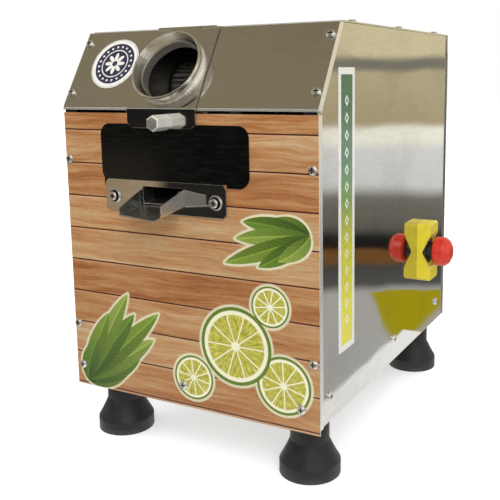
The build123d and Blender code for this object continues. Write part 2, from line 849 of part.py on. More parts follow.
with BuildPart() as outlet_screws:
    cap_top = cup_height + cap_height
    shank = outlet_thickness + screw_length
    for place in outlet_places:
        seat = place.offset(outlet_thickness)
        turned(
            seat,
            [
                (0, -shank),
                (screw_radius, -shank),
                (screw_radius, 0),
                (cup_radius, 0),
                (cup_rim_radius, cup_height),
                (cup_groove_radius, cup_height),
                (cap_radius, cup_floor),
                (cap_radius, cap_top - cap_edge),
                (cap_radius - cap_edge, cap_top),
                (0, cap_top),
            ],
        )
        hexagon(seat.offset(cap_top), cap_socket, -cap_socket_depth, mode=Mode.SUBTRACT)
write(outlet_screws, "outlet_screws")

# Juice tray under the rollers, narrowing to a tongue in the spout
tray_normal = (0, -sin(tray_tilt), cos(tray_tilt))
tray_plane = Plane(origin=at(feed_x, 0, tray_front), x_dir=(1, 0, 0), z_dir=tray_normal)
with BuildPart() as juice_tray:
    tongue = spout_width - 2 * sheet - 2 * tray_tongue_gap
    tray_half = [
        (tongue / 2, -tray_tongue_reach),
        (tongue / 2, tray_neck),
        (tray_width / 2, cheek_front + tray_shoulder_inset),
        (tray_width / 2, cheek_rear - tray_rear_inset),
    ]
    tray_outline = tray_half + [(-x, y) for x, y in reversed(tray_half)]
    with BuildSketch(tray_plane):
        with BuildLine():
            Polyline(*tray_outline, close=True)
        make_face()
    extrude(amount=tray_wall)
    with BuildSketch(tray_plane.offset(tray_sheet)):
        with BuildLine():
            Polyline(*tray_outline, close=True)
        make_face()
        offset(amount=-tray_sheet, kind=Kind.INTERSECTION)
        with Locations((0, -tray_tongue_reach)):
            Rectangle(tongue - 2 * tray_sheet, 4 * tray_sheet)
    extrude(amount=tray_wall, mode=Mode.SUBTRACT)
write(juice_tray, "juice_tray")

# Feed hatch: plate over the slant, tab folded down the front, rolled knuckle at the ridge
hinge_y = slant_run + hinge_setback
hinge_z = roof_inside - hinge_leaf_thickness / 2
hinge_rise = hinge_y * slant_sin + (hinge_z - slant_foot) * slant_cos
hinge_x = (hatch_slot[0] + hinge_side_gap, hatch_slot[1] - hinge_side_gap)
knuckle_x = span(feed_x, hinge_middle)
knuckle_bore = hinge_pin_radius + running_clearance
hatch_x = (hatch_slot[0] - hatch_overlap, hatch_slot[1] + hatch_overlap)
hatch_in = mating_gap
hatch_out = mating_gap + sheet
tab_in = -hatch_tab_gap
tab_out = -hatch_tab_gap - sheet
tab_foot = slant_foot - hatch_tab_drop
knob_x = feed_x + knob_shift
knob_z = tab_foot + knob_rise
mouth_place = on_slant(feed_x, feed_rise)
with BuildPart() as feed_hatch:
    hatch_outline = [
        slant_point(hinge_rise, hatch_out),
        slant_point((tab_out + hatch_out * slant_cos) / slant_sin, hatch_out),
        (tab_out, tab_foot),
        (tab_in, tab_foot),
        slant_point((tab_in + hatch_in * slant_cos) / slant_sin, hatch_in),
        slant_point(hinge_rise, hatch_in),
    ]
    prism(hatch_outline, hatch_x)
    folds = feed_hatch.edges().filter_by(Axis.X).group_by(Axis.Y)
    fillet(folds[0].sort_by(Axis.Z)[-1], hatch_bend)
    fillet(folds[1].sort_by(Axis.Z)[-1], hatch_bend - sheet)
    fillet(feed_hatch.edges().filter_by(Axis.Y).group_by(Axis.Z)[0], hatch_tab_corner)
    cut_rise = hinge_rise - hinge_relief
    cut_top = hinge_rise + hinge_knuckle_radius
    relief = [
        slant_point(cut_rise, -sheet),
        slant_point(cut_top, -sheet),
        slant_point(cut_top, 2 * hatch_out),
        slant_point(cut_rise, 2 * hatch_out),
    ]
    prism(relief, (hatch_x[0] - sheet, knuckle_x[0]), mode=Mode.SUBTRACT)
    prism(relief, (knuckle_x[1], hatch_x[1] + sheet), mode=Mode.SUBTRACT)
    bar(hinge_knuckle_radius, knuckle_x, hinge_y, hinge_z)
    bar(knuckle_bore, knuckle_x, hinge_y, hinge_z, mode=Mode.SUBTRACT)
    drill([mouth_place], seat_radius + fastener_clearance, 3 * hatch_out)
    with Locations(facing_front((tab_in + tab_out) / 2, knob_x, knob_z)):
        sink = knob_screw_head + fastener_clearance
        Cone(sink, knob_screw_radius + fastener_clearance, sheet, mode=Mode.SUBTRACT)
write(feed_hatch, "feed_hatch")

# Feed mouth: spigot through the hatch, welded shoulder, funnel and rolled lip
with BuildPart() as feed_mouth:
    neck_radius = seat_radius + mouth_neck_step
    bead_foot = mouth_height - mouth_lip_height
    bead_top_radius = mouth_lip_radius - mouth_lip_bevel
    turned(
        mouth_place,
        [
            (mouth_radius, -mouth_spigot),
            (seat_radius, -mouth_spigot),
            (seat_radius, hatch_out),
            (neck_radius + mouth_weld, hatch_out),
            (neck_radius, hatch_out + mouth_weld),
            (neck_radius, bead_foot - mouth_lip_slope),
            (mouth_lip_radius, bead_foot),
            (mouth_lip_radius, mouth_height - mouth_lip_bevel),
            (bead_top_radius, mouth_height),
            (bead_top_radius - mouth_lip_flat, mouth_height),
            (mouth_radius, mouth_throat),
        ],
    )
write(feed_mouth, "feed_mouth")

# Hexagonal pull knob on the tab, held by a countersunk screw from behind
with BuildPart() as hatch_knob:
    knob_seat = facing_front(tab_out, knob_x, knob_z)
    hexagon(knob_seat, knob_flats, knob_length, turn=knob_turn)
    chamfer(hatch_knob.faces().sort_by(Axis.Y)[0].edges(), knob_chamfer)
    knob_hole = knob_screw_radius + fastener_clearance
    disc(knob_seat, knob_hole, knob_screw_depth + knob_hole_spare, mode=Mode.SUBTRACT)
write(hatch_knob, "hatch_knob")

with BuildPart() as hatch_knob_screw:
    knob_screw_end = sheet + knob_screw_depth
    turned(
        facing_front(tab_in, knob_x, knob_z),
        [
            (0, 0),
            (knob_screw_head, 0),
            (knob_screw_radius, sheet),
            (knob_screw_radius, knob_screw_end),
            (0, knob_screw_end),
        ],
    )
write(hatch_knob_screw, "hatch_knob_screw")

# Fixed hinge leaf under the roof with its two end knuckles, and the pin
with BuildPart() as hinge_leaf:
    leaf_z = (roof_inside - hinge_leaf_thickness, roof_inside)
    leaf_front = hinge_y + hinge_leaf_setback
    block(hinge_x, (leaf_front, leaf_front + hinge_leaf_width), leaf_z)
    left_end = (hinge_x[0], knuckle_x[0] - mating_gap)
    right_end = (knuckle_x[1] + mating_gap, hinge_x[1])
    for knuckle in (left_end, right_end):
        block(knuckle, (hinge_y, leaf_front), leaf_z)
        bar(hinge_knuckle_radius, knuckle, hinge_y, hinge_z)
        bar(knuckle_bore, knuckle, hinge_y, hinge_z, mode=Mode.SUBTRACT)
write(hinge_leaf, "hinge_leaf")

with BuildPart() as hinge_pin:
    bar(hinge_pin_radius, hinge_x, hinge_y, hinge_z)
write(hinge_pin, "hinge_pin")


# Crushing unit: cheek plates, tie rods, flanged bushes and floor angles
def cheek(x_span):
    block(x_span, (cheek_front, cheek_rear), (pan_floor, cheek_top))
    for y, z in roller_axes.values():
        bar(bush_radius + fastener_clearance, x_span, y, z, mode=Mode.SUBTRACT)
    for y, z in tie_places:
        bar(tie_radius + fastener_clearance, x_span, y, z, mode=Mode.SUBTRACT)


with BuildPart() as left_cheek:
    cheek(left_cheek_x)
write(left_cheek, "left_cheek")

with BuildPart() as right_cheek:
    cheek(right_cheek_x)
write(right_cheek, "right_cheek")

with BuildPart() as tie_rods:
    rod_x = (left_cheek_x[0] - tie_nut_height, right_cheek_x[1] + tie_nut_height)
    for y, z in tie_places:
        bar(tie_radius, rod_x, y, z)
        nut(facing_right(rod_x[0], y, z), tie_nut_flats, tie_nut_height, tie_radius)
        nut(facing_right(right_cheek_x[1], y, z), tie_nut_flats, tie_nut_height, tie_radius)
write(tie_rods, "tie_rods")


def bush(sleeve, flange, whole, y, z):
    bar(bush_radius, sleeve, y, z)
    bar(bush_radius + bush_flange, flange, y, z)
    bar(shaft_radius + running_clearance, whole, y, z, mode=Mode.SUBTRACT)


with BuildPart() as bearing_bushes:
    left_flange = (left_cheek_x[0] - bush_flange_thickness, left_cheek_x[0])
    for y, z in roller_axes.values():
        bush(left_cheek_x, left_flange, (left_flange[0], left_inner), y, z)
        bush(right_cheek_x, (right_cheek_x[1], bush_end), (right_inner, bush_end), y, z)
write(bearing_bushes, "bearing_bushes")

with BuildPart() as cheek_angles:
    for y in angle_y:
        for wall, side in ((left_cheek_x[0], -1), (right_cheek_x[1], 1)):
            along = (y, y + angle_length)
            block(sorted((wall, wall + side * angle_thickness)), along, (pan_floor, pan_floor + angle_leg))
            block(sorted((wall, wall + side * angle_leg)), along, (pan_floor, angle_top))
    drill(angle_bolts, floor_bolt_hole, angle_leg / 2)
write(cheek_angles, "cheek_angles")


# Ribbed roller drums on their shafts
def drum_outline():
    step = pi / knurl_count
    radii = (roller_radius, roller_radius - knurl_depth)
    return [(radii[k % 2] * cos(k * step), radii[k % 2] * sin(k * step)) for k in range(2 * knurl_count)]


for roller_name, (y, z) in roller_axes.items():
    with BuildPart() as drum:
        with BuildSketch(facing_right(feed_x - roller_length / 2, y, z)):
            with BuildLine():
                Polyline(*drum_outline(), close=True)
            make_face()
            Circle(shaft_radius, mode=Mode.SUBTRACT)
        extrude(amount=roller_length)
    write(drum, f"{roller_name}_roller")
    shaft_end = bull_x1 + shaft_tail if roller_name == "top" else bush_end
    with BuildPart() as shaft:
        bar(shaft_radius, (gear_x0 - shaft_tail, shaft_end), y, z)
        chamfer(shaft.edges().filter_by(GeomType.CIRCLE), shaft_chamfer)
    write(shaft, f"{roller_name}_roller_shaft")


# Involute spur gear: each flank is an arc through three points of the involute
def gear_face(plane, module, teeth, phase, bore):
    pitch_radius = module * teeth / 2
    base_radius = pitch_radius * cos(radians(pressure_angle))
    tip_radius = pitch_radius + module
    root_radius = pitch_radius - gear_dedendum * module
    involute = tan(radians(pressure_angle)) - radians(pressure_angle)
    half_tooth = (pi * module / 2 - gear_backlash) / (2 * pitch_radius)
    root_turn = half_tooth + involute
    start_radius = max(base_radius, root_radius)
    flank_radii = (start_radius, (start_radius + tip_radius) / 2, tip_radius)

    def polar(radius, turn):
        return (radius * cos(turn), radius * sin(turn))

    def flank_turn(radius):
        roll = acos(min(1.0, base_radius / radius))
        return root_turn - (tan(roll) - roll)

    with BuildSketch(plane) as face:
        with BuildLine():
            for k in range(teeth):
                middle = phase + 2 * pi * k / teeth
                low = polar(root_radius, middle - root_turn)
                rise = [polar(radius, middle - flank_turn(radius)) for radius in flank_radii]
                fall = [polar(radius, middle + flank_turn(radius)) for radius in reversed(flank_radii)]
                high = polar(root_radius, middle + root_turn)
                next_low = polar(root_radius, middle + 2 * pi / teeth - root_turn)
                if start_radius > root_radius:
                    Line(low, rise[0])
                    Line(fall[-1], high)
                ThreePointArc(*rise)
                ThreePointArc(rise[-1], polar(tip_radius, middle), fall[0])
                ThreePointArc(*fall)
                ThreePointArc(high, polar(root_radius, middle + pi / teeth), next_low)
        make_face()
        Circle(bore, mode=Mode.SUBTRACT)
    return face.sketch


# Phase that puts a gear's tooth space opposite the tooth of the gear that it meets
def mesh_phase(first_teeth, first_phase, second_teeth, first_axis, second_axis):
    line = atan2(second_axis[1] - first_axis[1], second_axis[0] - first_axis[0])
    return line + pi - ((first_phase - line) * first_teeth + pi) / second_teeth


for roller_name, (y, z) in roller_axes.items():
    phase = 0.0
    if roller_name != "top":
        phase = mesh_phase(gear_teeth, phase, gear_teeth, roller_axes["top"], (y, z))
    with BuildPart() as roller_gear:
        teeth_face = gear_face(facing_right(gear_x0, y, z), gear_module, gear_teeth, phase, shaft_radius)
        extrude(teeth_face, amount=gear_width)
    write(roller_gear, f"{roller_name}_roller_gear")

with BuildPart() as bull_gear:
    bull_plane = facing_right(bull_x0, top_y, top_z)
    extrude(gear_face(bull_plane, drive_module, bull_teeth, 0.0, shaft_radius), amount=gear_width)
    hole_circle = (shaft_radius + drive_module * bull_teeth / 2) / 2
    with Locations(bull_plane):
        with PolarLocations(hole_circle, drive_hole_count):
            Cylinder(drive_hole_radius, 4 * gear_width, mode=Mode.SUBTRACT)
write(bull_gear, "bull_gear")

with BuildPart() as drive_pinion:
    pinion_phase = mesh_phase(bull_teeth, 0.0, pinion_teeth, (top_y, top_z), (pinion_y, pinion_z))
    pinion_plane = facing_right(bull_x0, pinion_y, pinion_z)
    pinion_face = gear_face(pinion_plane, drive_module, pinion_teeth, pinion_phase, pinion_shaft_radius)
    extrude(pinion_face, amount=gear_width)
write(drive_pinion, "drive_pinion")

with BuildPart() as gearbox_shaft:
    bar(pinion_shaft_radius, (bull_x0 - shaft_tail, gearbox_x[0] + pinion_shaft_depth), pinion_y, pinion_z)
    chamfer(gearbox_shaft.edges().filter_by(GeomType.CIRCLE), shaft_chamfer)
write(gearbox_shaft, "gearbox_shaft")

# Worm gearbox, motor, fan cowl and terminal box on a folded stand
with BuildPart() as gearbox:
    block(gearbox_x, gearbox_y, gearbox_z)
    fillet(gearbox.edges().filter_by(Axis.X), gearbox_corner)
    boss_x = (gearbox_x[0] - gearbox_boss_height, gearbox_x[1] + gearbox_boss_height)
    bar(gearbox_boss_radius, boss_x, pinion_y, pinion_z)
    socket = (boss_x[0], gearbox_x[0] + pinion_shaft_depth + mating_gap)
    bar(pinion_shaft_radius + running_clearance, socket, pinion_y, pinion_z, mode=Mode.SUBTRACT)
write(gearbox, "gearbox")

with BuildPart() as motor_body:
    disc(facing_rear(gearbox_y[1], motor_x, motor_z), fin_radius, motor_flange_thickness)
    with BuildSketch(facing_rear(motor_front, motor_x, motor_z)):
        Circle(motor_radius)
        with PolarLocations(motor_radius, motor_fin_count):
            Rectangle(2 * motor_fin_height, motor_fin_thickness)
    extrude(amount=motor_length)
    block(span(motor_x, motor_pad_width), terminal_y, (motor_z, terminal_foot))
write(motor_body, "motor_body")

with BuildPart() as fan_cowl:
    cowl_plane = facing_rear(motor_rear, motor_x, motor_z)
    disc(cowl_plane, fin_radius, cowl_length)
    fillet(fan_cowl.edges().filter_by(GeomType.CIRCLE).sort_by(Axis.Y)[-1], cowl_end_wall - cowl_wall)
    disc(cowl_plane, fin_radius - cowl_wall, cowl_length - cowl_end_wall, mode=Mode.SUBTRACT)
    with Locations(cowl_plane.offset(cowl_length)):
        with PolarLocations(fin_radius / 2, cowl_slot_count):
            Box(cowl_slot_length, cowl_slot_width, 4 * cowl_end_wall, mode=Mode.SUBTRACT)
write(fan_cowl, "fan_cowl")

with BuildPart() as terminal_box:
    block(terminal_x, terminal_y, (terminal_foot, terminal_foot + terminal_height))
    fillet(terminal_box.edges().filter_by(Axis.Z), terminal_corner)
write(terminal_box, "terminal_box")

with BuildPart() as motor_stand:
    block(gearbox_x, stand_y, (gearbox_z[0] - stand_sheet, gearbox_z[0]))
    for leg, out in ((stand_y[0], -1), (stand_y[1], 1)):
        block(gearbox_x, sorted((leg, leg - out * stand_sheet)), (pan_floor, gearbox_z[0]))
        foot_pair = sorted((leg, leg + out * stand_flange))
        block(gearbox_x, foot_pair, (pan_floor, pan_floor + stand_sheet))
    drill(stand_bolts, floor_bolt_hole, stand_flange)
write(motor_stand, "motor_stand")

# Turn plate that carries crushed cane from the feed roller to the discharge roller
turn_inner = roller_radius + turn_gap
turn_outer = turn_inner + turn_thickness
clear_radius = roller_radius + turn_clearance
turn_reach = acos((roller_pitch**2 + turn_outer**2 - clear_radius**2) / (2 * roller_pitch * turn_outer))
turn_start = turn_reach - atan2(slant_run, slant_rise)
turn_end = radians(discharge_angle) - turn_reach
turn_middle = (turn_start + turn_end) / 2


def under_top(radius, turn):
    return (top_y + radius * sin(turn), top_z - radius * cos(turn))


with BuildPart() as turn_plate:
    with BuildSketch(facing_right(left_inner)):
        with BuildLine():
            ThreePointArc(*[under_top(turn_inner, turn) for turn in (turn_start, turn_middle, turn_end)])
            Line(under_top(turn_inner, turn_end), under_top(turn_outer, turn_end))
            ThreePointArc(*[under_top(turn_outer, turn) for turn in (turn_end, turn_middle, turn_start)])
            Line(under_top(turn_outer, turn_start), under_top(turn_inner, turn_start))
        make_face()
    extrude(amount=cheek_spacing)
    web_y, web_z = under_top((turn_inner + turn_outer) / 2, turn_middle)
    block((left_inner, right_inner), span(web_y, turn_web), (web_z - turn_web_height, web_z))
write(turn_plate, "turn_plate")

# Feed apron from the front rail up to the feed roller
with BuildPart() as feed_apron:
    apron_bend = apron_front + apron_flat
    apron_depth = nip_depth - roller_radius - apron_gap
    apron_tip = slant_point(feed_rise - roller_pitch / 2 + apron_lift, -apron_depth)
    apron_outline = [
        (apron_front, front_height),
        (apron_bend, front_height),
        (apron_tip[0], apron_tip[1] - sheet),
        apron_tip,
        (apron_bend, front_height + sheet),
        (apron_front, front_height + sheet),
    ]
    prism(apron_outline, span(feed_x, tray_width))
write(feed_apron, "feed_apron")

# Emergency stop: guard with ears above and below the head, bezel, lock nut, plunger, head and contact block
with BuildPart() as estop_guard:
    guard_outline = [
        (0, -guard_half_height),
        (guard_ear_height, -guard_half_height),
        (guard_ear_height, -guard_notch),
        (guard_waist, 0),
        (guard_ear_height, guard_notch),
        (guard_ear_height, guard_half_height),
        (0, guard_half_height),
    ]
    with BuildSketch(facing_front(estop_y - guard_half_width, side_face, estop_height)):
        with BuildLine():
            Polyline(guard_outline, close=True)
        make_face()
    extrude(amount=-2 * guard_half_width)
    fillet(estop_guard.edges().filter_by(Axis.X), guard_corner)
    disc(estop_face, estop_hole, guard_base, mode=Mode.SUBTRACT)
    disc(estop_face.offset(guard_base), bezel_radius + estop_hole_gap, guard_ear_height, mode=Mode.SUBTRACT)
    head_space = stem_top - estop_travel - guard_head_gap
    disc(estop_face.offset(head_space), head_radius + guard_head_gap, guard_ear_height, mode=Mode.SUBTRACT)
    fillet(estop_guard.faces().sort_by(Axis.X)[-2:].edges(), guard_edge)
write(estop_guard, "estop_guard")

with BuildPart() as estop_bezel:
    sleeve_plane = estop_face.offset(-bezel_depth)
    disc(sleeve_plane, bezel_sleeve_radius, bezel_depth + guard_base)
    disc(estop_face.offset(guard_base), bezel_radius, bezel_height)
    chamfer(estop_bezel.edges().filter_by(GeomType.CIRCLE).sort_by(Axis.X)[-1], bezel_edge)
    bezel_length = bezel_depth + guard_base + bezel_height
    disc(sleeve_plane, stem_radius + running_clearance, bezel_length, mode=Mode.SUBTRACT)
write(estop_bezel, "estop_bezel")

with BuildPart() as estop_nut:
    nut(estop_face.offset(-sheet - estop_nut_height), estop_nut_flats, estop_nut_height, bezel_sleeve_radius)
write(estop_nut, "estop_nut")

with BuildPart() as estop_stem:
    stem_tail = bezel_depth - estop_travel - stem_tail_gap
    disc(estop_face.offset(-stem_tail), stem_radius, stem_tail + stem_top)
    disc(estop_face.offset(stem_top), stem_neck_radius, stem_neck_top - stem_top)
write(estop_stem, "estop_stem")

with BuildPart() as estop_head:
    head_foot = stem_top + mating_gap
    neck_bore = stem_neck_radius + running_clearance
    bore_top = stem_neck_top + mating_gap
    shoulder = (head_shoulder_radius, estop_reach - head_shoulder_drop)
    turned(
        estop_face,
        [
            (neck_bore, head_foot),
            (head_root_radius, head_foot),
            (head_radius, head_rim),
            (head_radius, head_edge),
            shoulder,
            (head_crown_radius, estop_reach - head_crown_drop),
            (0, estop_reach),
            (0, bore_top),
            (neck_bore, bore_top),
        ],
    )
    fillet(estop_head.edges().filter_by(GeomType.CIRCLE).sort_by(Edge.radius)[2:], head_round)
write(estop_head, "estop_head")

contact_x = side_face - bezel_depth - contact_block_length
with BuildPart() as estop_block:
    contact_y = span(estop_y, contact_block_size)
    contact_z = span(estop_height, contact_block_size)
    block((contact_x, contact_x + contact_block_length), contact_y, contact_z)
    fillet(estop_block.edges().filter_by(Axis.X), contact_block_corner)
write(estop_block, "estop_block")

# Husk chute out through the back, and the collar that holds it
with BuildPart() as husk_chute:
    chute_outline = [
        (chute_front, chute_foot(chute_front)),
        (chute_rear, chute_foot(chute_rear)),
        (chute_rear, chute_foot(chute_rear) + chute_wall_upright),
        (chute_front, chute_foot(chute_front) + chute_wall_upright),
    ]
    prism(chute_outline, span(feed_x, chute_width))
    mouth_y = chute_front - sheet
    end_y = chute_rear + sheet
    chute_hollow = [
        (mouth_y, chute_foot(mouth_y) + chute_sheet),
        (end_y, chute_foot(end_y) + chute_sheet),
        (end_y, chute_foot(end_y) + 2 * chute_wall_upright),
        (mouth_y, chute_foot(mouth_y) + 2 * chute_wall_upright),
    ]
    prism(chute_hollow, span(feed_x, chute_width - 2 * chute_sheet), mode=Mode.SUBTRACT)
write(husk_chute, "husk_chute")

with BuildPart() as rear_collar:
    block(collar_x, (cabinet_depth, collar_rear), collar_z)
    fillet(rear_collar.edges().filter_by(Axis.Y), collar_corner)
    collar_hole_y = (cabinet_depth - sheet, collar_rear + sheet)
    collar_hole_z = (chute_hole_foot, chute_hole_top)
    block(span(feed_x, chute_width), collar_hole_y, collar_hole_z, mode=Mode.SUBTRACT)
    drill(collar_places, screw_hole, 2 * collar_thickness)
write(rear_collar, "rear_collar")

# Cable gland low on the back, with its lock nut inside
with BuildPart() as cable_gland:
    hexagon(gland_place, gland_flats, gland_hex_height)
    disc(gland_place.offset(gland_hex_height), gland_cap_radius, gland_cap_length)
    chamfer(cable_gland.faces().sort_by(Axis.Y)[-1].edges(), gland_cap_chamfer)
    disc(gland_place, gland_thread_radius, -gland_thread_length)
    gland_length = gland_hex_height + gland_cap_length + gland_thread_length
    disc(gland_place.offset(-gland_thread_length), gland_bore, gland_length, mode=Mode.SUBTRACT)
    nut(gland_place.offset(-sheet - gland_nut_height), gland_flats, gland_nut_height, gland_thread_radius)
write(cable_gland, "cable_gland")

# Leads inside: supply lead to the contact block, motor lead up to the terminal box
lead_start = cabinet_depth - gland_thread_length - lead_start_gap
contact_foot = estop_height - contact_block_size / 2
contact_mid_x = contact_x + contact_block_length / 2
riser_x = feed_x + chute_width / 2 + lead_riser_gap
terminal_mid_y = sum(terminal_y) / 2
terminal_mid_z = terminal_foot + terminal_height / 2
supply_route = [
    at(contact_mid_x, lead_start, gland_z),
    at(contact_mid_x, estop_y, gland_z),
    at(contact_mid_x, estop_y, contact_foot),
]
motor_route = [
    at(contact_x, estop_y, estop_height),
    at(riser_x, estop_y, estop_height),
    at(riser_x, terminal_mid_y, terminal_mid_z),
    at(terminal_x[0], terminal_mid_y, terminal_mid_z),
]
with BuildPart() as inner_leads:
    for route in (supply_route, motor_route):
        with BuildLine() as lead_path:
            FilletPolyline(*route, radius=lead_bend)
        with BuildSketch(Plane(origin=lead_path.line @ 0, z_dir=lead_path.line % 0)) as lead_section:
            Circle(lead_radius)
        sweep(lead_section.sketch, path=lead_path.line)
write(inner_leads, "inner_leads")
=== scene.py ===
from functools import reduce
from math import cos, pi, radians, sin

import bmesh
import bpy
from mathutils import Matrix, Vector


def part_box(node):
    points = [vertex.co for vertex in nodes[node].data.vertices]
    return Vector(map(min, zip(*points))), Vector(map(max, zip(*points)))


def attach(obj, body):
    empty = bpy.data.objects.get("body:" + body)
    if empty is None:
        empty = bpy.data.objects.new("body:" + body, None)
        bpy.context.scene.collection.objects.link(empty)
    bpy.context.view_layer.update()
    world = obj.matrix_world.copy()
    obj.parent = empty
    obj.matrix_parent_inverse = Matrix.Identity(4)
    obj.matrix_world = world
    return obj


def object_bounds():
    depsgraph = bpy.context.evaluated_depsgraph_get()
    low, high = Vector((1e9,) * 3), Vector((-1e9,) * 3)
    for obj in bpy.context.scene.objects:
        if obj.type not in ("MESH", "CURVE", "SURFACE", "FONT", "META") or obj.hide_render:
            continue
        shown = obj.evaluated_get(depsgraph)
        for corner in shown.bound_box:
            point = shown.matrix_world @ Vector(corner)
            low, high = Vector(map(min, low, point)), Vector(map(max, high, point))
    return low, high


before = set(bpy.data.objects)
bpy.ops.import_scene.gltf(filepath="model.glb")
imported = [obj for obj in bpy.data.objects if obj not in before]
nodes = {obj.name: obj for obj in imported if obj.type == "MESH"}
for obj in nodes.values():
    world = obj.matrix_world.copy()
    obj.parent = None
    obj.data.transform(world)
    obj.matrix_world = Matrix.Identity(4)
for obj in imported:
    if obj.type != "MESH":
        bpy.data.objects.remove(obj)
cad_low, cad_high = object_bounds()
scene = bpy.context.scene

# Places on the object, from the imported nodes
MM = 0.001
TO_MM = 1000.0
PANEL_LOW, PANEL_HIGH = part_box("front_panel")
SIDE_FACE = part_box("right_side_panel")[1].x
SLANT_RUN, SLANT_RISE = 50, 81
SLANT_UP = Vector((0, SLANT_RUN, SLANT_RISE)).normalized()
SLANT_OUT = Vector((0, -SLANT_RISE, SLANT_RUN)).normalized()
SLANT_FOOT = PANEL_HIGH.z + 6 * MM


def reach(node, direction):
    """How far a node's points go along a direction, lowest and highest."""
    along = [vertex.co.dot(direction) for vertex in nodes[node].data.vertices]
    return min(along), max(along)


SLANT_FACE = reach("left_slant_panel", SLANT_OUT)[1]
HATCH_FACE = reach("feed_hatch", SLANT_OUT)[1]
MOUTH_RISE = sum(reach("feed_mouth", SLANT_UP)) / 2
MOUTH_X = sum(reach("feed_mouth", Vector((1, 0, 0)))) / 2


def srgb(red, green, blue):
    """A colour written as 0-255 screen values, as the linear colour that shaders take."""

    def linear(value):
        share = value / 255
        return share / 12.92 if share <= 0.04045 else ((share + 0.055) / 1.055) ** 2.4

    return (linear(red), linear(green), linear(blue), 1.0)


def bare_tree(owner):
    """The node tree of a material or world, emptied."""
    owner.use_nodes = True
    owner.node_tree.nodes.clear()
    return owner.node_tree


class Nodes:
    """A node tree, built a node at a time. Inputs are sockets or plain values."""

    def __init__(self, tree):
        self.tree = tree

    def node(self, kind, inputs=None, **settings):
        made = self.tree.nodes.new(kind)
        for key, value in settings.items():
            setattr(made, key, value)
        for key, value in (inputs or {}).items():
            self.feed(made.inputs[key], value)
        return made

    def feed(self, socket, value):
        if isinstance(value, bpy.types.NodeSocket):
            self.tree.links.new(value, socket)
        else:
            socket.default_value = value

    def math(self, operation, first, second=0.0):
        return self.node("ShaderNodeMath", {0: first, 1: second}, operation=operation).outputs[0]

    def plus(self, first, second):
        return self.math("ADD", first, second)

    def minus(self, first, second):
        return self.math("SUBTRACT", first, second)

    def times(self, first, second):
        return self.math("MULTIPLY", first, second)

    def over(self, first, second):
        return self.math("DIVIDE", first, second)

    def larger(self, first, second):
        return self.math("MAXIMUM", first, second)

    def size(self, value):
        return self.math("ABSOLUTE", value)

    def fit(self, value, low, high, to_low=0.0, to_high=1.0):
        """Carries value from low..high to to_low..to_high with smooth, clamped ends."""
        inputs = {"Value": value, "From Min": low, "From Max": high, "To Min": to_low, "To Max": to_high}
        return self.node("ShaderNodeMapRange", inputs, interpolation_type="SMOOTHSTEP").outputs[0]

    def band(self, value, low, high, edge):
        """1 between low and high, with soft edges of the given width."""
        return self.times(self.fit(value, low, low + edge), self.fit(value, high + edge, high))

    def mix(self, share, first, second):
        return self.node("ShaderNodeMix", {0: share, 6: first, 7: second}, data_type="RGBA").outputs[2]

    def blend(self, share, first, second):
        return self.node("ShaderNodeMix", {0: share, 2: first, 3: second}, data_type="FLOAT").outputs[0]

    def ramp(self, value, *stops):
        made = self.node("ShaderNodeValToRGB", {0: value})
        places = made.color_ramp.elements
        while len(places) < len(stops):
            places.new(1.0)
        for element, (position, colour) in zip(places, stops):
            element.position = position
            element.color = colour
        return made.outputs[0]

    def vector(self, operation, first, second, output=0):
        made = self.node("ShaderNodeVectorMath", {0: first, 1: second}, operation=operation)
        return made.outputs[output]

    def stretch(self, vector, scale):
        return self.vector("MULTIPLY", vector, scale)

    def length(self, vector):
        return self.node("ShaderNodeVectorMath", {0: vector}, operation="LENGTH").outputs[1]

    def noise(self, vector, scale, detail=3.0, roughness=0.5):
        inputs = {"Vector": vector, "Scale": scale, "Detail": detail, "Roughness": roughness}
        return self.node("ShaderNodeTexNoise", inputs).outputs[0]

    def split(self, vector):
        return self.node("ShaderNodeSeparateXYZ", {0: vector}).outputs

    def join(self, x, y, z=0.0):
        return self.node("ShaderNodeCombineXYZ", {0: x, 1: y, 2: z}).outputs[0]

    def bump(self, height, distance, normal=None):
        inputs = {"Strength": 1.0, "Distance": distance, "Height": height}
        if normal is not None:
            inputs["Normal"] = normal
        return self.node("ShaderNodeBump", inputs).outputs[0]

    def rounded(self, radius):
        """Normals that ease over sharp edges."""
        return self.node("ShaderNodeBevel", {"Radius": radius}, samples=4).outputs[0]


class Looks(Nodes):
    """A material with one Principled shader. Values that are the same all over sit on its sockets."""

    def __init__(self, name, **sockets):
        self.material = bpy.data.materials.new(name)
        super().__init__(bare_tree(self.material))
        self.shader = self.node("ShaderNodeBsdfPrincipled")
        for key, value in sockets.items():
            self.set(key.replace("_", " ").title().replace("Ior", "IOR"), value)
        output = self.node("ShaderNodeOutputMaterial")
        self.feed(output.inputs["Surface"], self.shader.outputs[0])
        self.place = self.node("ShaderNodeTexCoord").outputs["Object"]

    def set(self, socket, value):
        self.feed(self.shader.inputs[socket], value)

    def dress(self, colour, roughness, normal):
        self.set("Base Color", colour)
        self.set("Roughness", roughness)
        self.set("Normal", normal)
        return self.material

    def along(self, direction):
        """How far the place is along a direction."""
        return self.vector("DOT_PRODUCT", self.place, direction, 1)

    def facing(self, axis):
        """1 where the surface faces along an axis: 0, 1 or 2 for X, Y or Z."""
        normal = self.split(self.node("ShaderNodeTexCoord").outputs["Normal"])
        return self.fit(self.size(normal[axis]), 0.8, 0.95)


# Steel

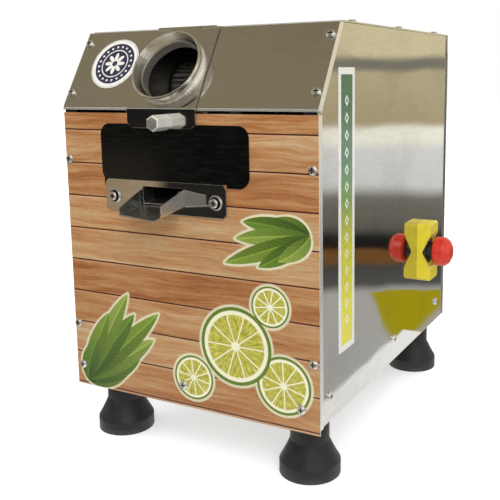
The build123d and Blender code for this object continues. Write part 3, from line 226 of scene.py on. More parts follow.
BRIGHT = (0.64, 0.625, 0.60, 1)
HAZED = (0.57, 0.555, 0.53, 1)
# Brushed steel colour, also a painted highlight where it lies on bent folds
SATIN_AND_FOLD_HIGHLIGHT = (0.88, 0.87, 0.84, 1)
STRAW = (0.52, 0.43, 0.27, 1)
SCORCHED = (0.13, 0.08, 0.05, 1)
MIRROR_GLOSS = (0.035, 0.11)  # least and most roughness
SHEET_WAVES = 0.9 * MM
WIPED_ALONG = (14.0, 14.0, 90.0)
HAIRLINES_ALONG = (30.0, 30.0, 900.0)
TURNED_ALONG = (1500.0, 25.0, 25.0)
DRAWN_ALONG = (900.0, 60.0, 900.0)
NECK_RADIUS = 36.1 * MM
THROAT_RADIUS = 34.1 * MM
LIP_FOOT = 9 * MM
SEAM_ANGLE = radians(166)
SEAM_HALF_WIDTH = 1.5 * MM
ROLLER_TEETH = 72
TOOTH_PITCH = 2.8 * MM


def sheet_normal(looks, waves):
    """Slight waves in the sheet and hairlines along it."""
    waved = looks.bump(looks.noise(looks.place, 7.0, 1.0), waves, looks.rounded(0.6 * MM))
    hairlines = looks.noise(looks.stretch(looks.place, HAIRLINES_ALONG), 4.0, 2.0)
    return looks.bump(hairlines, 0.0012 * MM, waved)


def steel_surface(looks, bright=BRIGHT, dull=HAZED, gloss=MIRROR_GLOSS, waves=SHEET_WAVES):
    """Colour, roughness and normal of sheet steel with wiping marks, handling haze and specks."""
    haze = looks.noise(looks.place, 9.0, 4.0, 0.62)
    wiped = looks.noise(looks.stretch(looks.place, WIPED_ALONG), 3.0, 4.0)
    specks = looks.fit(looks.noise(looks.place, 520.0, 2.0), 0.66, 0.74)
    marks = looks.plus(looks.times(haze, 0.7), looks.times(wiped, 0.3))
    colour = looks.mix(looks.fit(marks, 0.42, 0.62), bright, dull)
    roughness = looks.plus(looks.fit(marks, 0.35, 0.7, *gloss), looks.times(specks, 0.08))
    return colour, roughness, sheet_normal(looks, waves)


def sheet_steel(name, **surface):
    looks = Looks(name, metallic=1.0)
    return looks.dress(*steel_surface(looks, **surface))


def brushed_gloss(looks):
    return looks.fit(looks.noise(looks.place, 700.0, 3.0, 0.6), 0.3, 0.7, 0.36, 0.48)


def partly_satin_and_highlit(looks, surface, where):
    """The same sheet with a brighter, brushed finish where the mask is 1. On folds, the brighter colour is
    also a painted highlight.
    """
    colour, roughness, normal = surface
    return looks.mix(where, colour, SATIN_AND_FOLD_HIGHLIGHT), looks.blend(where, roughness, brushed_gloss(looks)), normal


def slant_steel():
    """Polished sheet, brushed and painted lighter as a highlight on the fold down its side and on the nose
    along its foot.
    """
    looks = Looks("steel_slant", metallic=1.0)
    height = looks.split(looks.place)[2]
    nose = looks.fit(height, SLANT_FOOT - 0.6 * MM, SLANT_FOOT - 1.4 * MM)
    # Fold and nose take the paler colour: a painted highlight along the bends, with real brushed roughness
    return looks.dress(*partly_satin_and_highlit(looks, steel_surface(looks), looks.larger(looks.facing(0), nose)))


def round_mouth(looks):
    """Distance from the mouth's axis, angle round it, place up the slant and height over the hatch."""
    across = looks.minus(looks.split(looks.place)[0], MOUTH_X)
    up = looks.minus(looks.along(SLANT_UP), MOUTH_RISE)
    height = looks.minus(looks.along(SLANT_OUT), HATCH_FACE)
    return looks.length(looks.join(across, up)), looks.math("ARCTAN2", up, across), up, height


def heated(looks, colour, roughness):
    """Straw and brown from the heat, in patches along the weld under the mouth."""
    radius, _, up, height = round_mouth(looks)
    patchy = looks.fit(looks.noise(looks.place, 70.0, 4.0, 0.65), 0.36, 0.64)
    near = looks.times(looks.fit(radius, 45 * MM, 37 * MM), looks.fit(height, 6 * MM, 0.5 * MM))
    heat = looks.times(looks.times(near, patchy), looks.fit(up, -12 * MM, -34 * MM))
    straw = looks.mix(looks.fit(heat, 0.0, 0.6, 0.0, 0.7), colour, STRAW)
    brown = looks.mix(looks.fit(heat, 0.6, 1.0, 0.0, 0.9), straw, SCORCHED)
    return brown, looks.plus(roughness, looks.times(heat, 0.25))


def hatch_steel():
    """Polished sheet with heat marks at the weld."""
    looks = Looks("steel_hatch", metallic=1.0)
    colour, roughness, normal = steel_surface(looks, gloss=(0.04, 0.12), waves=0.6 * MM)
    return looks.dress(*heated(looks, colour, roughness), normal)


def mouth_steel():
    """Spun steel: fine rings, duller neck and throat, a double seam down one side, heat marks."""
    looks = Looks("steel_mouth", metallic=1.0)
    radius, angle, _, height = round_mouth(looks)
    haze = looks.noise(looks.place, 26.0, 4.0, 0.6)
    rings = looks.noise(looks.join(looks.plus(radius, height), 0.0), 900.0, 2.0)
    colour = looks.mix(looks.fit(haze, 0.38, 0.64), (0.90, 0.88, 0.82, 1), (0.78, 0.76, 0.70, 1))
    outside = looks.fit(radius, NECK_RADIUS - 0.2 * MM, NECK_RADIUS + 0.2 * MM)
    neck = looks.times(outside, looks.fit(height, LIP_FOOT + 0.5 * MM, LIP_FOOT - 0.5 * MM))
    throat = looks.fit(radius, THROAT_RADIUS + 0.3 * MM, THROAT_RADIUS - 0.3 * MM)
    lip_gloss = looks.fit(haze, 0.3, 0.7, 0.15, 0.25)
    ground_gloss = looks.fit(haze, 0.3, 0.7, 0.42, 0.56)
    polish = looks.blend(looks.larger(neck, throat), lip_gloss, ground_gloss)
    aside = looks.times(looks.minus(angle, SEAM_ANGLE), radius)
    from_lines = looks.size(looks.minus(looks.size(aside), SEAM_HALF_WIDTH))
    seam = looks.fit(from_lines, 0.9 * MM, 0.3 * MM)
    relief = looks.plus(looks.times(rings, 0.02), looks.times(seam, 0.6))
    normal = looks.bump(relief, 1.0 * MM, looks.rounded(0.5 * MM))
    return looks.dress(*heated(looks, colour, looks.plus(polish, looks.times(rings, 0.05))), normal)


def knob_steel():
    """Hexagon bar: drawn sides with a matt skin, a smoother faced end."""
    looks = Looks("steel_satin", metallic=1.0)
    faced = looks.facing(1)
    lines = looks.noise(looks.stretch(looks.place, DRAWN_ALONG), 1.0, 3.0)
    haze = looks.noise(looks.place, 60.0, 3.0, 0.6)
    skin = looks.mix(looks.fit(haze, 0.36, 0.66), (0.97, 0.97, 0.94, 1), (0.90, 0.90, 0.87, 1))
    colour = looks.mix(faced, skin, (0.80, 0.82, 0.77, 1))
    skin_gloss = looks.fit(haze, 0.3, 0.7, 0.68, 0.76)
    faced_gloss = looks.fit(haze, 0.3, 0.7, 0.26, 0.36)
    roughness = looks.plus(looks.blend(faced, skin_gloss, faced_gloss), looks.times(lines, 0.06))
    return looks.dress(colour, roughness, looks.bump(lines, 0.012 * MM, looks.rounded(0.5 * MM)))


def spout_steel():
    """Bent sheet: wiped inside, brushed on its outer sides."""
    looks = Looks("steel_spout", metallic=1.0)
    low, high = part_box("juice_spout")
    half = (high.x - low.x) / 2
    aside = looks.size(looks.minus(looks.split(looks.place)[0], (low.x + high.x) / 2))
    bright, dull = (0.60, 0.605, 0.57, 1), (0.48, 0.485, 0.45, 1)
    surface = steel_surface(looks, bright, dull, (0.26, 0.38), 0.3 * MM)
    return looks.dress(*partly_satin_and_highlit(looks, surface, looks.fit(aside, half - 0.7 * MM, half - 0.3 * MM)))


def machined_steel():
    """Turned bars and cut gears: fine rings across the axis, a film of oil here and there."""
    looks = Looks("steel_machined", metallic=1.0)
    rings = looks.noise(looks.stretch(looks.place, TURNED_ALONG), 1.0, 2.0)
    oil = looks.noise(looks.place, 42.0, 4.0, 0.6)
    colour = looks.mix(looks.fit(oil, 0.4, 0.65), (0.52, 0.51, 0.49, 1), (0.36, 0.34, 0.31, 1))
    roughness = looks.plus(looks.fit(oil, 0.35, 0.65, 0.30, 0.17), looks.times(rings, 0.08))
    return looks.dress(colour, roughness, looks.bump(rings, 0.02 * MM, looks.rounded(0.4 * MM)))


def roller_steel(node):
    """A roller with small teeth in rows round it, with painted highlights on their tips and painted shade
    between them.
    """
    looks = Looks("steel_" + node, metallic=1.0)
    low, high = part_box(node)
    x, y, z = looks.split(looks.place)
    ahead = looks.minus(y, (low.y + high.y) / 2)
    above = looks.minus(z, (low.z + high.z) / 2)
    turn = looks.math("ARCTAN2", above, ahead)
    rows = looks.size(looks.math("SINE", looks.times(turn, ROLLER_TEETH / 2)))
    rings = looks.size(looks.math("SINE", looks.times(x, pi / TOOTH_PITCH)))
    tooth = looks.times(rows, rings)
    wear = looks.noise(looks.place, 90.0, 4.0, 0.6)
    # Tooth tips painted bright as highlights, the gaps between them painted near black as shade
    colour = looks.mix(looks.fit(tooth, 0.15, 0.75), (0.10, 0.097, 0.09, 1), (0.80, 0.78, 0.74, 1))
    roughness = looks.fit(wear, 0.3, 0.7, 0.22, 0.36)
    return looks.dress(colour, roughness, looks.bump(tooth, 0.8 * MM, looks.rounded(0.3 * MM)))


def bright_fasteners():
    """Worn bright heads, with painted shade darkening their recesses."""
    looks = Looks("fasteners_bright", metallic=1.0)
    worn = looks.noise(looks.place, 260.0, 3.0, 0.6)
    inputs = {"Distance": 2.5 * MM}
    painted_shade_ao = looks.node("ShaderNodeAmbientOcclusion", inputs, only_local=True, samples=8).outputs["AO"]
    metal = looks.mix(looks.fit(worn, 0.35, 0.65), (0.88, 0.87, 0.84, 1), (0.68, 0.66, 0.62, 1))
    # Near black where ambient occlusion is low: painted shade in the recesses
    colour = looks.mix(looks.fit(painted_shade_ao, 0.5, 0.88), (0.02, 0.0195, 0.018, 1), metal)
    roughness = looks.fit(worn, 0.3, 0.7, 0.26, 0.42)
    return looks.dress(colour, roughness, looks.bump(worn, 0.03 * MM, looks.rounded(0.35 * MM)))


def bronze():
    looks = Looks("bronze_cast", metallic=1.0)
    tarnish = looks.noise(looks.place, 120.0, 5.0, 0.6)
    colour = looks.mix(looks.fit(tarnish, 0.35, 0.65), (0.58, 0.37, 0.16, 1), (0.30, 0.18, 0.08, 1))
    roughness = looks.fit(tarnish, 0.3, 0.7, 0.22, 0.45)
    return looks.dress(colour, roughness, looks.bump(tarnish, 0.05 * MM, looks.rounded(0.4 * MM)))


# Rubber, plastic and paint


def moulded(name, main, other, gloss, grain, depth):
    """A moulded or painted surface: fine grain, cloudy colour, a little dust in the cloud."""
    looks = Looks(name)
    cloud = looks.noise(looks.place, 55.0, 4.0, 0.6)
    pebbles = looks.noise(looks.place, grain, 2.0, 0.55)
    dusty = looks.fit(cloud, 0.38, 0.66, 0.0, 0.75)
    grainy = looks.fit(pebbles, 0.5, 0.75, 0.0, 0.25)
    colour = looks.mix(looks.plus(dusty, grainy), main, other)
    roughness = looks.fit(cloud, 0.32, 0.68, *gloss)
    return looks.dress(colour, roughness, looks.bump(pebbles, depth, looks.rounded(0.6 * MM)))


def black_rubber():
    """Rubber feet: dusty, with faint mould rings, paler towards the bottom."""
    looks = Looks("rubber_black", specular_ior_level=0.4)
    dust = looks.noise(looks.place, 48.0, 5.0, 0.65)
    grain = looks.noise(looks.place, 900.0, 2.0)
    height = looks.split(looks.place)[2]
    rings = looks.noise(looks.join(0.0, 0.0, height), 620.0, 1.0)
    # Paler colour towards the bottom of each foot, patchy with the dust
    paler_low = looks.times(looks.fit(height, 9 * MM, 1 * MM), looks.fit(dust, 0.35, 0.6))
    clean, dusty = (0.006, 0.0068, 0.0065, 1), (0.024, 0.026, 0.025, 1)
    dusted = looks.mix(looks.fit(dust, 0.45, 0.75, 0.0, 0.8), clean, dusty)
    colour = looks.mix(paler_low, dusted, (0.045, 0.044, 0.041, 1))
    roughness = looks.fit(dust, 0.3, 0.7, 0.42, 0.66)
    relief = looks.plus(looks.times(grain, 0.5), rings)
    return looks.dress(colour, roughness, looks.bump(relief, 0.09 * MM, looks.rounded(0.8 * MM)))


def black_plate():
    """Glossy black plate with dust specks and hair scratches."""
    looks = Looks("plate_black", specular_ior_level=0.25, coat_weight=0.25, coat_roughness=0.06)
    wiped = looks.noise(looks.stretch(looks.place, (20.0, 20.0, 160.0)), 2.0, 5.0, 0.65)
    specks = looks.fit(looks.noise(looks.place, 760.0, 2.0), 0.70, 0.78)
    clean, hazed = (0.0025, 0.003, 0.0026, 1), (0.0065, 0.007, 0.0064, 1)
    film = looks.mix(looks.fit(wiped, 0.45, 0.75), clean, hazed)
    colour = looks.mix(looks.times(specks, 0.35), film, (0.05, 0.05, 0.048, 1))
    roughness = looks.fit(wiped, 0.35, 0.7, 0.14, 0.28)
    return looks.dress(colour, roughness, looks.bump(wiped, 0.02 * MM, looks.rounded(0.4 * MM)))


# Print on the front panel: planks, fans of leaves and cut limes, in millimetres of the panel's face

PLANK = 35.9
FIRST_JOIN = 18.0
JOIN_WIDTH = 1.5
WOOD = [
    (0.28, srgb(140, 80, 42)),
    (0.42, srgb(168, 112, 64)),
    (0.54, srgb(184, 138, 92)),
    (0.66, srgb(194, 160, 116)),
    (0.78, srgb(204, 184, 146)),
]
LIT_EDGE = srgb(214, 168, 132)
JOIN = srgb(62, 24, 16)
OUTLINE = srgb(226, 224, 190)
# Black band between the outlet flange and the black plate
BAND_BLACK = srgb(8, 9, 8)
LEAF_FANS = [
    # root x, root z, first angle, last angle, leaves, length, width
    (14, 6, 8, 84, 8, 128, 23),
    (296, 196, 150, 236, 6, 92, 18),
]
GREENS = [
    (srgb(58, 84, 20), srgb(150, 176, 66)),
    (srgb(44, 72, 22), srgb(124, 156, 52)),
    (srgb(72, 98, 26), srgb(168, 190, 84)),
]
LEAF_BEND = 26
VEIN_STEP, VEIN_SLOPE = 6.5, 5.0
LIMES = [
    # centre x, centre z, radius, turn
    (252, 122, 21, 0.5),
    (266, 44, 30, 0.9),
    (160, 34, 24, 0.2),
    (212, 76, 41, 0.0),
]
WEDGES = 10
PULP = [(0.3, srgb(150, 140, 34)), (0.5, srgb(182, 176, 62)), (0.7, srgb(214, 208, 112))]
PITH = srgb(240, 237, 205)
RIND = srgb(98, 122, 36)


def group_tree(name, inputs, outputs):
    """A node group with its inputs and outputs, each a name and a kind of socket."""
    tree = bpy.data.node_groups.new(name, "ShaderNodeTree")
    for side, sockets in (("INPUT", inputs), ("OUTPUT", outputs)):
        for label, kind in sockets:
            tree.interface.new_socket(label, in_out=side, socket_type="NodeSocket" + kind)
    made = Nodes(tree)
    return made, made.node("NodeGroupInput").outputs, made.node("NodeGroupOutput").inputs


def cut_out(made, result, inside):
    """Gives a motif's mask and the halo round it, from how far a place is inside its edge."""
    made.feed(result["Mask"], made.fit(inside, -0.2, 0.5))
    made.feed(result["Halo"], made.fit(inside, -3.4, -1.6))


def leaf_group():
    """A pointed leaf from its root along an angle, with a rib and veins."""
    inputs = [("Place", "Vector"), ("Root", "Vector"), ("Angle", "Float"), ("Length", "Float")]
    inputs += [("Width", "Float"), ("Bend", "Float")]
    outputs = [("Mask", "Float"), ("Halo", "Float"), ("Shade", "Float")]
    made, given, result = group_tree("leaf_blade", inputs, outputs)
    offset = made.vector("SUBTRACT", given["Place"], given["Root"])
    back = made.times(given["Angle"], -1.0)
    turned = made.node("ShaderNodeVectorRotate", {"Vector": offset, "Angle": back}, rotation_type="Z_AXIS")
    along, across, _ = made.split(turned.outputs[0])
    share = made.over(along, given["Length"])
    across = made.plus(across, made.times(made.times(share, share), given["Bend"]))
    spread = made.size(across)

    arch = made.times(made.times(share, made.minus(1.0, share)), 4.0)
    arch = made.math("POWER", made.larger(arch, 0.0), 0.8)
    half = made.times(arch, made.times(given["Width"], 0.5))
    beyond = made.larger(made.minus(share, 1.0), made.times(share, -1.0))
    beyond = made.times(made.larger(beyond, 0.0), given["Length"])
    cut_out(made, result, made.minus(half, made.length(made.join(across, beyond))))

    rib = made.fit(spread, 1.1, 0.4)
    cell = made.math("FRACT", made.minus(made.over(along, VEIN_STEP), made.over(spread, VEIN_SLOPE)))
    vein = made.fit(made.size(made.minus(cell, 0.5)), 0.36, 0.48)
    tone = made.plus(made.times(share, 0.4), made.fit(across, -0.8, 0.8, 0.0, 0.2))
    tone = made.plus(tone, made.times(vein, 0.14))
    made.feed(result["Shade"], made.plus(tone, made.times(rib, 0.34)))
    return made.tree


def lime_group():
    """A cut lime: rind, pith and wedges of flesh."""
    inputs = [("Place", "Vector"), ("Centre", "Vector"), ("Radius", "Float"), ("Turn", "Float")]
    outputs = [("Mask", "Float"), ("Halo", "Float"), ("Colour", "Color")]
    made, given, result = group_tree("cut_lime", inputs, outputs)
    offset = made.vector("SUBTRACT", given["Place"], given["Centre"])
    x, y, _ = made.split(offset)
    away = made.length(offset)
    share = made.over(away, given["Radius"])
    angle = made.plus(made.math("ARCTAN2", y, x), given["Turn"])
    wedge = made.math("FRACT", made.times(angle, WEDGES / (2 * pi)))
    edge = made.minus(0.5, made.size(made.minus(wedge, 0.5)))
    edge = made.times(edge, made.times(away, 2 * pi / WEDGES))
    flesh = made.times(made.fit(share, 0.82, 0.78), made.fit(edge, 0.35, 1.0))
    flesh = made.times(flesh, made.fit(share, 0.10, 0.14))
    rays = made.join(made.times(angle, 5.0), made.times(share, 2.6), given["Turn"])
    cut = made.mix(flesh, PITH, made.ramp(made.noise(rays, 2.2), *PULP))
    made.feed(result["Colour"], made.mix(made.fit(share, 0.89, 0.92), cut, RIND))
    cut_out(made, result, made.minus(given["Radius"], away))
    return made.tree


def leaves():
    """Leaves of the fans: the inputs of each and its pair of greens, the outer leaves shorter."""
    for x, z, first, last, count, length, width in LEAF_FANS:
        for number in range(count):
            share = number / (count - 1)
            middle = sin(pi * (0.15 + 0.7 * share))
            uneven = 1 + 0.12 * sin(2.4 * number + x)
            inputs = {
                "Root": (x, z, 0),
                "Angle": radians(first + (last - first) * share),
                "Length": length * middle * uneven,
                "Width": width,
                "Bend": (share - 0.5) * LEAF_BEND,
            }
            yield inputs, GREENS[number % len(GREENS)]


def planks(looks, across, above):
    """Colour of planks that lie across the panel, each with its own tone and grain."""
    below = looks.minus((PANEL_HIGH.z - PANEL_LOW.z) * TO_MM - FIRST_JOIN, above)
    row = looks.over(below, PLANK)
    number = looks.math("FLOOR", row)
    inside = looks.math("FRACT", row)
    chance = looks.node("ShaderNodeTexWhiteNoise", {"W": number}, noise_dimensions="1D").outputs["Value"]
    run = looks.plus(across, looks.times(chance, 700.0))

    def streaks(height, along, up, detail, roughness=0.5):
        stretched = looks.join(looks.times(run, along), looks.times(height, up), chance)
        return looks.noise(stretched, 1.0, detail, roughness)

    wander = streaks(above, 0.012, 0.03, 2.0)
    bent = looks.plus(above, looks.times(wander, 16.0))
    broad = streaks(bent, 0.008, 0.10, 3.0)
    grain = streaks(bent, 0.022, 0.55, 4.0, 0.6)
    fibre = streaks(bent, 0.09, 2.6, 2.0)
    tone = looks.plus(looks.times(broad, 0.55), looks.times(grain, 0.45))
    tone = looks.plus(tone, looks.times(looks.minus(fibre, 0.5), 0.22))
    tone = looks.plus(tone, looks.times(looks.minus(chance, 0.5), 0.16))
    wood = looks.mix(looks.fit(inside, 0.10, 0.035, 0.0, 0.4), looks.ramp(tone, *WOOD), LIT_EDGE)
    from_join = looks.minus(0.5, looks.size(looks.minus(inside, 0.5)))
    gap = looks.fit(from_join, 0.62 * JOIN_WIDTH / PLANK, 0.36 * JOIN_WIDTH / PLANK)
    return looks.mix(gap, wood, JOIN)


def with_motifs(looks, art, page):
    """Leaves and limes over the planks, their pale outlines under all of them."""
    leaf_tree, lime_tree = leaf_group(), lime_group()
    drawn = []
    halos = []
    for inputs, (dark, light) in leaves():
        leaf = looks.node("ShaderNodeGroup", {"Place": page, **inputs}, node_tree=leaf_tree).outputs
        drawn.append((leaf["Mask"], looks.ramp(leaf["Shade"], (0.0, dark), (1.0, light))))
        halos.append(leaf["Halo"])
    for x, z, radius, turn in LIMES:
        inputs = {"Place": page, "Centre": (x, z, 0), "Radius": radius, "Turn": turn}
        lime = looks.node("ShaderNodeGroup", inputs, node_tree=lime_tree).outputs
        drawn.append((lime["Mask"], lime["Colour"]))
        halos.append(lime["Halo"])
    art = looks.mix(looks.times(reduce(looks.larger, halos), 0.82), art, OUTLINE)
    for mask, colour in drawn:
        art = looks.mix(mask, art, colour)
    return art


def black_band(looks, across, above):
    """Where the panel's colour is black, between the outlet flange and the black plate."""
    low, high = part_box("outlet_flange")
    left, right = (low.x - PANEL_LOW.x) * TO_MM - 3, (high.x - PANEL_LOW.x) * TO_MM - 4
    foot = (high.z - PANEL_LOW.z) * TO_MM - 8
    return looks.times(looks.band(across, left, right, 0.4), looks.band(above, foot, foot + 12, 0.4))


def front_print():
    """Printed film on the panel's face, brushed steel on its folds, painted lighter there as a highlight.
    """
    looks = Looks("print_front")
    x, y, z = looks.split(looks.place)
    across = looks.times(looks.minus(x, PANEL_LOW.x), TO_MM)
    above = looks.times(looks.minus(z, PANEL_LOW.z), TO_MM)
    art = with_motifs(looks, planks(looks, across, above), looks.join(across, above))
    art = looks.mix(black_band(looks, across, above), art, BAND_BLACK)
    face = looks.fit(y, PANEL_LOW.y + 0.75 * MM, PANEL_LOW.y + 0.45 * MM)
    looks.set("Metallic", looks.minus(1.0, face))
    film_gloss = looks.fit(looks.noise(looks.place, 30.0, 4.0, 0.6), 0.35, 0.65, 0.22, 0.34)
    roughness = looks.blend(face, brushed_gloss(looks), film_gloss)
    peel = looks.noise(looks.place, 340.0, 2.0)
    normal = looks.bump(peel, 0.025 * MM, sheet_normal(looks, 0.4 * MM))
    # Off the face, the folds take the paler steel colour: a painted highlight along the bends
    return looks.dress(looks.mix(face, SATIN_AND_FOLD_HIGHLIGHT, art), roughness, normal)


# Finishes by the record's material slots, and by node where one node differs

finishes = {
    "polished_steel": sheet_steel("steel_polished"),
    "plain_steel": sheet_steel(
        "steel_plain",
        bright=(0.50, 0.49, 0.47, 1),
        dull=(0.40, 0.39, 0.37, 1),
        gloss=(0.24, 0.42),
        waves=0.6 * MM,
    ),
    "machined_steel": machined_steel(),
    "bright_fasteners": bright_fasteners(),
    "bronze": bronze(),
    "black_rubber": black_rubber(),
    "black_plate": black_plate(),
    "front_print": front_print(),
    "drive_grey": moulded(
        "paint_grey", (0.15, 0.158, 0.165, 1), (0.20, 0.205, 0.21, 1), (0.34, 0.5), 420.0, 0.06 * MM
    ),
    "black_plastic": moulded(
        "plastic_black", (0.012, 0.012, 0.013, 1), (0.026, 0.026, 0.026, 1), (0.32, 0.5), 1400.0, 0.03 * MM
    ),
    "yellow_plastic": moulded(
        "plastic_yellow", srgb(240, 222, 58), srgb(228, 205, 46), (0.26, 0.42), 1300.0, 0.025 * MM
    ),
    "red_plastic": moulded(
        "plastic_red", srgb(226, 58, 40), srgb(205, 44, 32), (0.2, 0.36), 1300.0, 0.02 * MM
    ),
    "lead_jacket": moulded(
        "jacket_grey", (0.03, 0.03, 0.032, 1), (0.05, 0.05, 0.05, 1), (0.4, 0.55), 1200.0, 0.03 * MM
    ),
}
own_finishes = {
    "rear_panel": sheet_steel("steel_brushed", gloss=(0.34, 0.44), waves=0.6 * MM),
    "left_slant_panel": slant_steel(),
    "feed_hatch": hatch_steel(),
    "feed_mouth": mouth_steel(),
    "hatch_knob": knob_steel(),
    "juice_spout": spout_steel(),
}
own_finishes["right_slant_panel"] = own_finishes["left_slant_panel"]
for name in ("top_roller", "feed_roller", "discharge_roller"):
    own_finishes[name] = roller_steel(name)
for name, node in nodes.items():
    for place in node.material_slots:
        place.material = own_finishes.get(name) or finishes[place.material.name]


# Stickers

BADGE_RADIUS = 30.2 * MM
BADGE_SIDES = 72
BADGE_INSET = 51 * MM
BADGE_RISE = 53 * MM
PETALS = 8
PETAL_ROOT, PETAL_LENGTH = 4.0, 9.0
DOTS = 20
DOT_RING = 20.8
STRIP_LOW = (48 * MM, 66 * MM)
STRIP_SIZE = (40 * MM, 285 * MM)
STRIP_CORNER = 2 * MM
STRIP_FIELD = [
    (0.0, srgb(236, 228, 62)),
    (0.34, srgb(206, 204, 64)),
    (0.56, srgb(120, 158, 72)),
    (0.78, srgb(62, 118, 78)),
    (1.0, srgb(44, 100, 70)),
]
DIAMOND_STEP = 17.0
DIAMOND_SLOPE = 0.85
STICKER = 0.25 * MM
PLATE_STEPS = [(0.0, 0.0), (0.0, 0.6), (0.35, 1.0)]  # inset and height, as shares of the thickness


def mesh_object(name, mesh):
    data = bpy.data.meshes.new(name)
    mesh.to_mesh(data)
    mesh.free()
    made = bpy.data.objects.new(name, data)
    scene.collection.objects.link(made)
    return made


def plate_object(name, outline, thickness, place):
    """A thin plate with an eased upper edge. The outline is in its own plane, face towards its +Z."""
    mesh = bmesh.new()
    middle = Vector((sum(p[0] for p in outline), sum(p[1] for p in outline))) / len(outline)
    rings = []
    for inset, height in PLATE_STEPS:
        ring = []
        for point in outline:
            away = Vector(point) - middle
            moved = middle + away * (1 - inset * thickness / away.length)
            ring.append(mesh.verts.new((moved.x, moved.y, height * thickness)))
        rings.append(ring)
    count = len(outline)
    for low, high in zip(rings, rings[1:]):
        for index in range(count):
            after = (index + 1) % count
            mesh.faces.new((low[index], low[after], high[after], high[index]))
    mesh.faces.new(rings[-1])
    mesh.faces.new(list(reversed(rings[0])))
    made = mesh_object(name, mesh)
    made.matrix_world = place
    return made


def circle_outline(radius, sides):
    turns = [2 * pi * side / sides for side in range(sides)]
    return [(radius * cos(turn), radius * sin(turn)) for turn in turns]


def rounded_outline(width, height, radius, steps=6):
    points = []
    for corner, (sx, sy) in enumerate(((1, -1), (1, 1), (-1, 1), (-1, -1))):
        for step in range(steps + 1):
            turn = (corner - 1 + step / steps) * pi / 2
            centre = Vector((sx * (width / 2 - radius), sy * (height / 2 - radius)))
            points.append(tuple(centre + radius * Vector((cos(turn), sin(turn)))))
    return points


def badge_material():
    """Round seal: white rim, navy field, a plain rosette inside a ring of dots. Sizes in millimetres."""
    looks = Looks("sticker_badge", coat_weight=0.3, coat_roughness=0.12)
    x, y, _ = looks.split(looks.place)
    away = looks.times(looks.length(looks.join(x, y)), TO_MM)
    angle = looks.math("ARCTAN2", y, x)
    wear = looks.noise(looks.place, 160.0, 4.0, 0.6)
    navy = looks.mix(looks.fit(wear, 0.35, 0.7), srgb(30, 28, 62), srgb(46, 44, 80))
    white = looks.mix(looks.fit(wear, 0.4, 0.7), srgb(240, 238, 230), srgb(222, 218, 206))
    petal = looks.size(looks.math("COSINE", looks.times(angle, PETALS / 2)))
    petal = looks.plus(looks.times(petal, PETAL_LENGTH), PETAL_ROOT)
    rosette = looks.fit(looks.minus(petal, away), -0.3, 0.3)
    heart = looks.fit(away, 3.6, 3.1)
    ring = looks.band(away, 15.6, 16.8, 0.4)
    cell = looks.minus(looks.math("FRACT", looks.times(angle, DOTS / (2 * pi))), 0.5)
    dot = looks.join(looks.times(cell, DOT_RING * 2 * pi / DOTS), looks.minus(away, DOT_RING))
    dots = looks.fit(looks.length(dot), 1.5, 1.1)
    rim = looks.fit(away, 24.6, 25.1)
    line = looks.band(away, 28.4, 29.2, 0.3)
    pale = looks.larger(looks.larger(rosette, ring), looks.larger(dots, rim))
    pale = looks.minus(pale, looks.larger(heart, looks.times(line, 0.5)))
    colour = looks.mix(looks.fit(pale, 0.0, 1.0), navy, white)
    return looks.dress(colour, looks.fit(wear, 0.35, 0.65, 0.25, 0.4), looks.bump(wear, 0.02 * MM))


def strip_material():
    """Upright strip: white border, green that turns yellow downwards, a column of pale diamonds."""
    looks = Looks("sticker_strip", coat_weight=0.3, coat_roughness=0.1)
    x, y, _ = looks.split(looks.place)
    across = looks.size(looks.times(x, TO_MM))
    up = looks.times(y, TO_MM)
    from_middle = looks.size(up)
    half_width, half_height = STRIP_SIZE[0] * TO_MM / 2, STRIP_SIZE[1] * TO_MM / 2
    wear = looks.noise(looks.place, 130.0, 4.0, 0.6)
    field = looks.ramp(looks.fit(up, -half_height, half_height), *STRIP_FIELD)
    white = looks.mix(looks.fit(wear, 0.4, 0.7), srgb(246, 245, 240), srgb(230, 228, 220))
    cell = looks.minus(looks.math("FRACT", looks.over(up, DIAMOND_STEP)), 0.5)
    diamond = looks.plus(across, looks.times(looks.size(cell), DIAMOND_STEP * DIAMOND_SLOPE))
    diamonds = looks.times(looks.fit(diamond, 5.2, 4.7), looks.fit(diamond, 2.3, 2.7))
    column = looks.fit(from_middle, half_height - 26.0, half_height - 27.0)
    art = looks.mix(looks.times(diamonds, column), field, white)
    beside = looks.fit(across, half_width - 5.6, half_width - 6.2)
    inner = looks.times(beside, looks.fit(from_middle, half_height - 6.4, half_height - 7.0))
    roughness = looks.fit(wear, 0.35, 0.65, 0.22, 0.36)
    return looks.dress(looks.mix(inner, white, art), roughness, looks.bump(wear, 0.02 * MM))


foot_point = Vector((0, (SLANT_FOOT * SLANT_OUT.z - SLANT_FACE) / -SLANT_OUT.y, SLANT_FOOT))
badge_centre = foot_point + SLANT_UP * BADGE_RISE + Vector((PANEL_LOW.x + BADGE_INSET, 0, 0))
badge_turn = Matrix((Vector((1, 0, 0)), SLANT_UP, SLANT_OUT)).transposed().to_4x4()
badge_place = Matrix.Translation(badge_centre) @ badge_turn
badge = plate_object("badge_sticker", circle_outline(BADGE_RADIUS, BADGE_SIDES), STICKER, badge_place)
badge.data.materials.append(badge_material())

strip_centre = Vector((
    SIDE_FACE,
    PANEL_LOW.y + STRIP_LOW[0] + STRIP_SIZE[0] / 2,
    PANEL_LOW.z + STRIP_LOW[1] + STRIP_SIZE[1] / 2,
))
strip_turn = Matrix((Vector((0, 1, 0)), Vector((0, 0, 1)), Vector((1, 0, 0)))).transposed().to_4x4()
strip_place = Matrix.Translation(strip_centre) @ strip_turn
strip = plate_object("side_strip", rounded_outline(*STRIP_SIZE, STRIP_CORNER), STICKER, strip_place)
strip.data.materials.append(strip_material())
for sticker in (badge, strip):
    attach(sticker, "cabinet")


# Weld bead round the mouth

BEAD = 1.9 * MM
BEAD_RADIUS = 37.6 * MM
BEAD_LIFT = 0.6 * MM
BEAD_STEPS = 240
BEAD_SIDES = 10


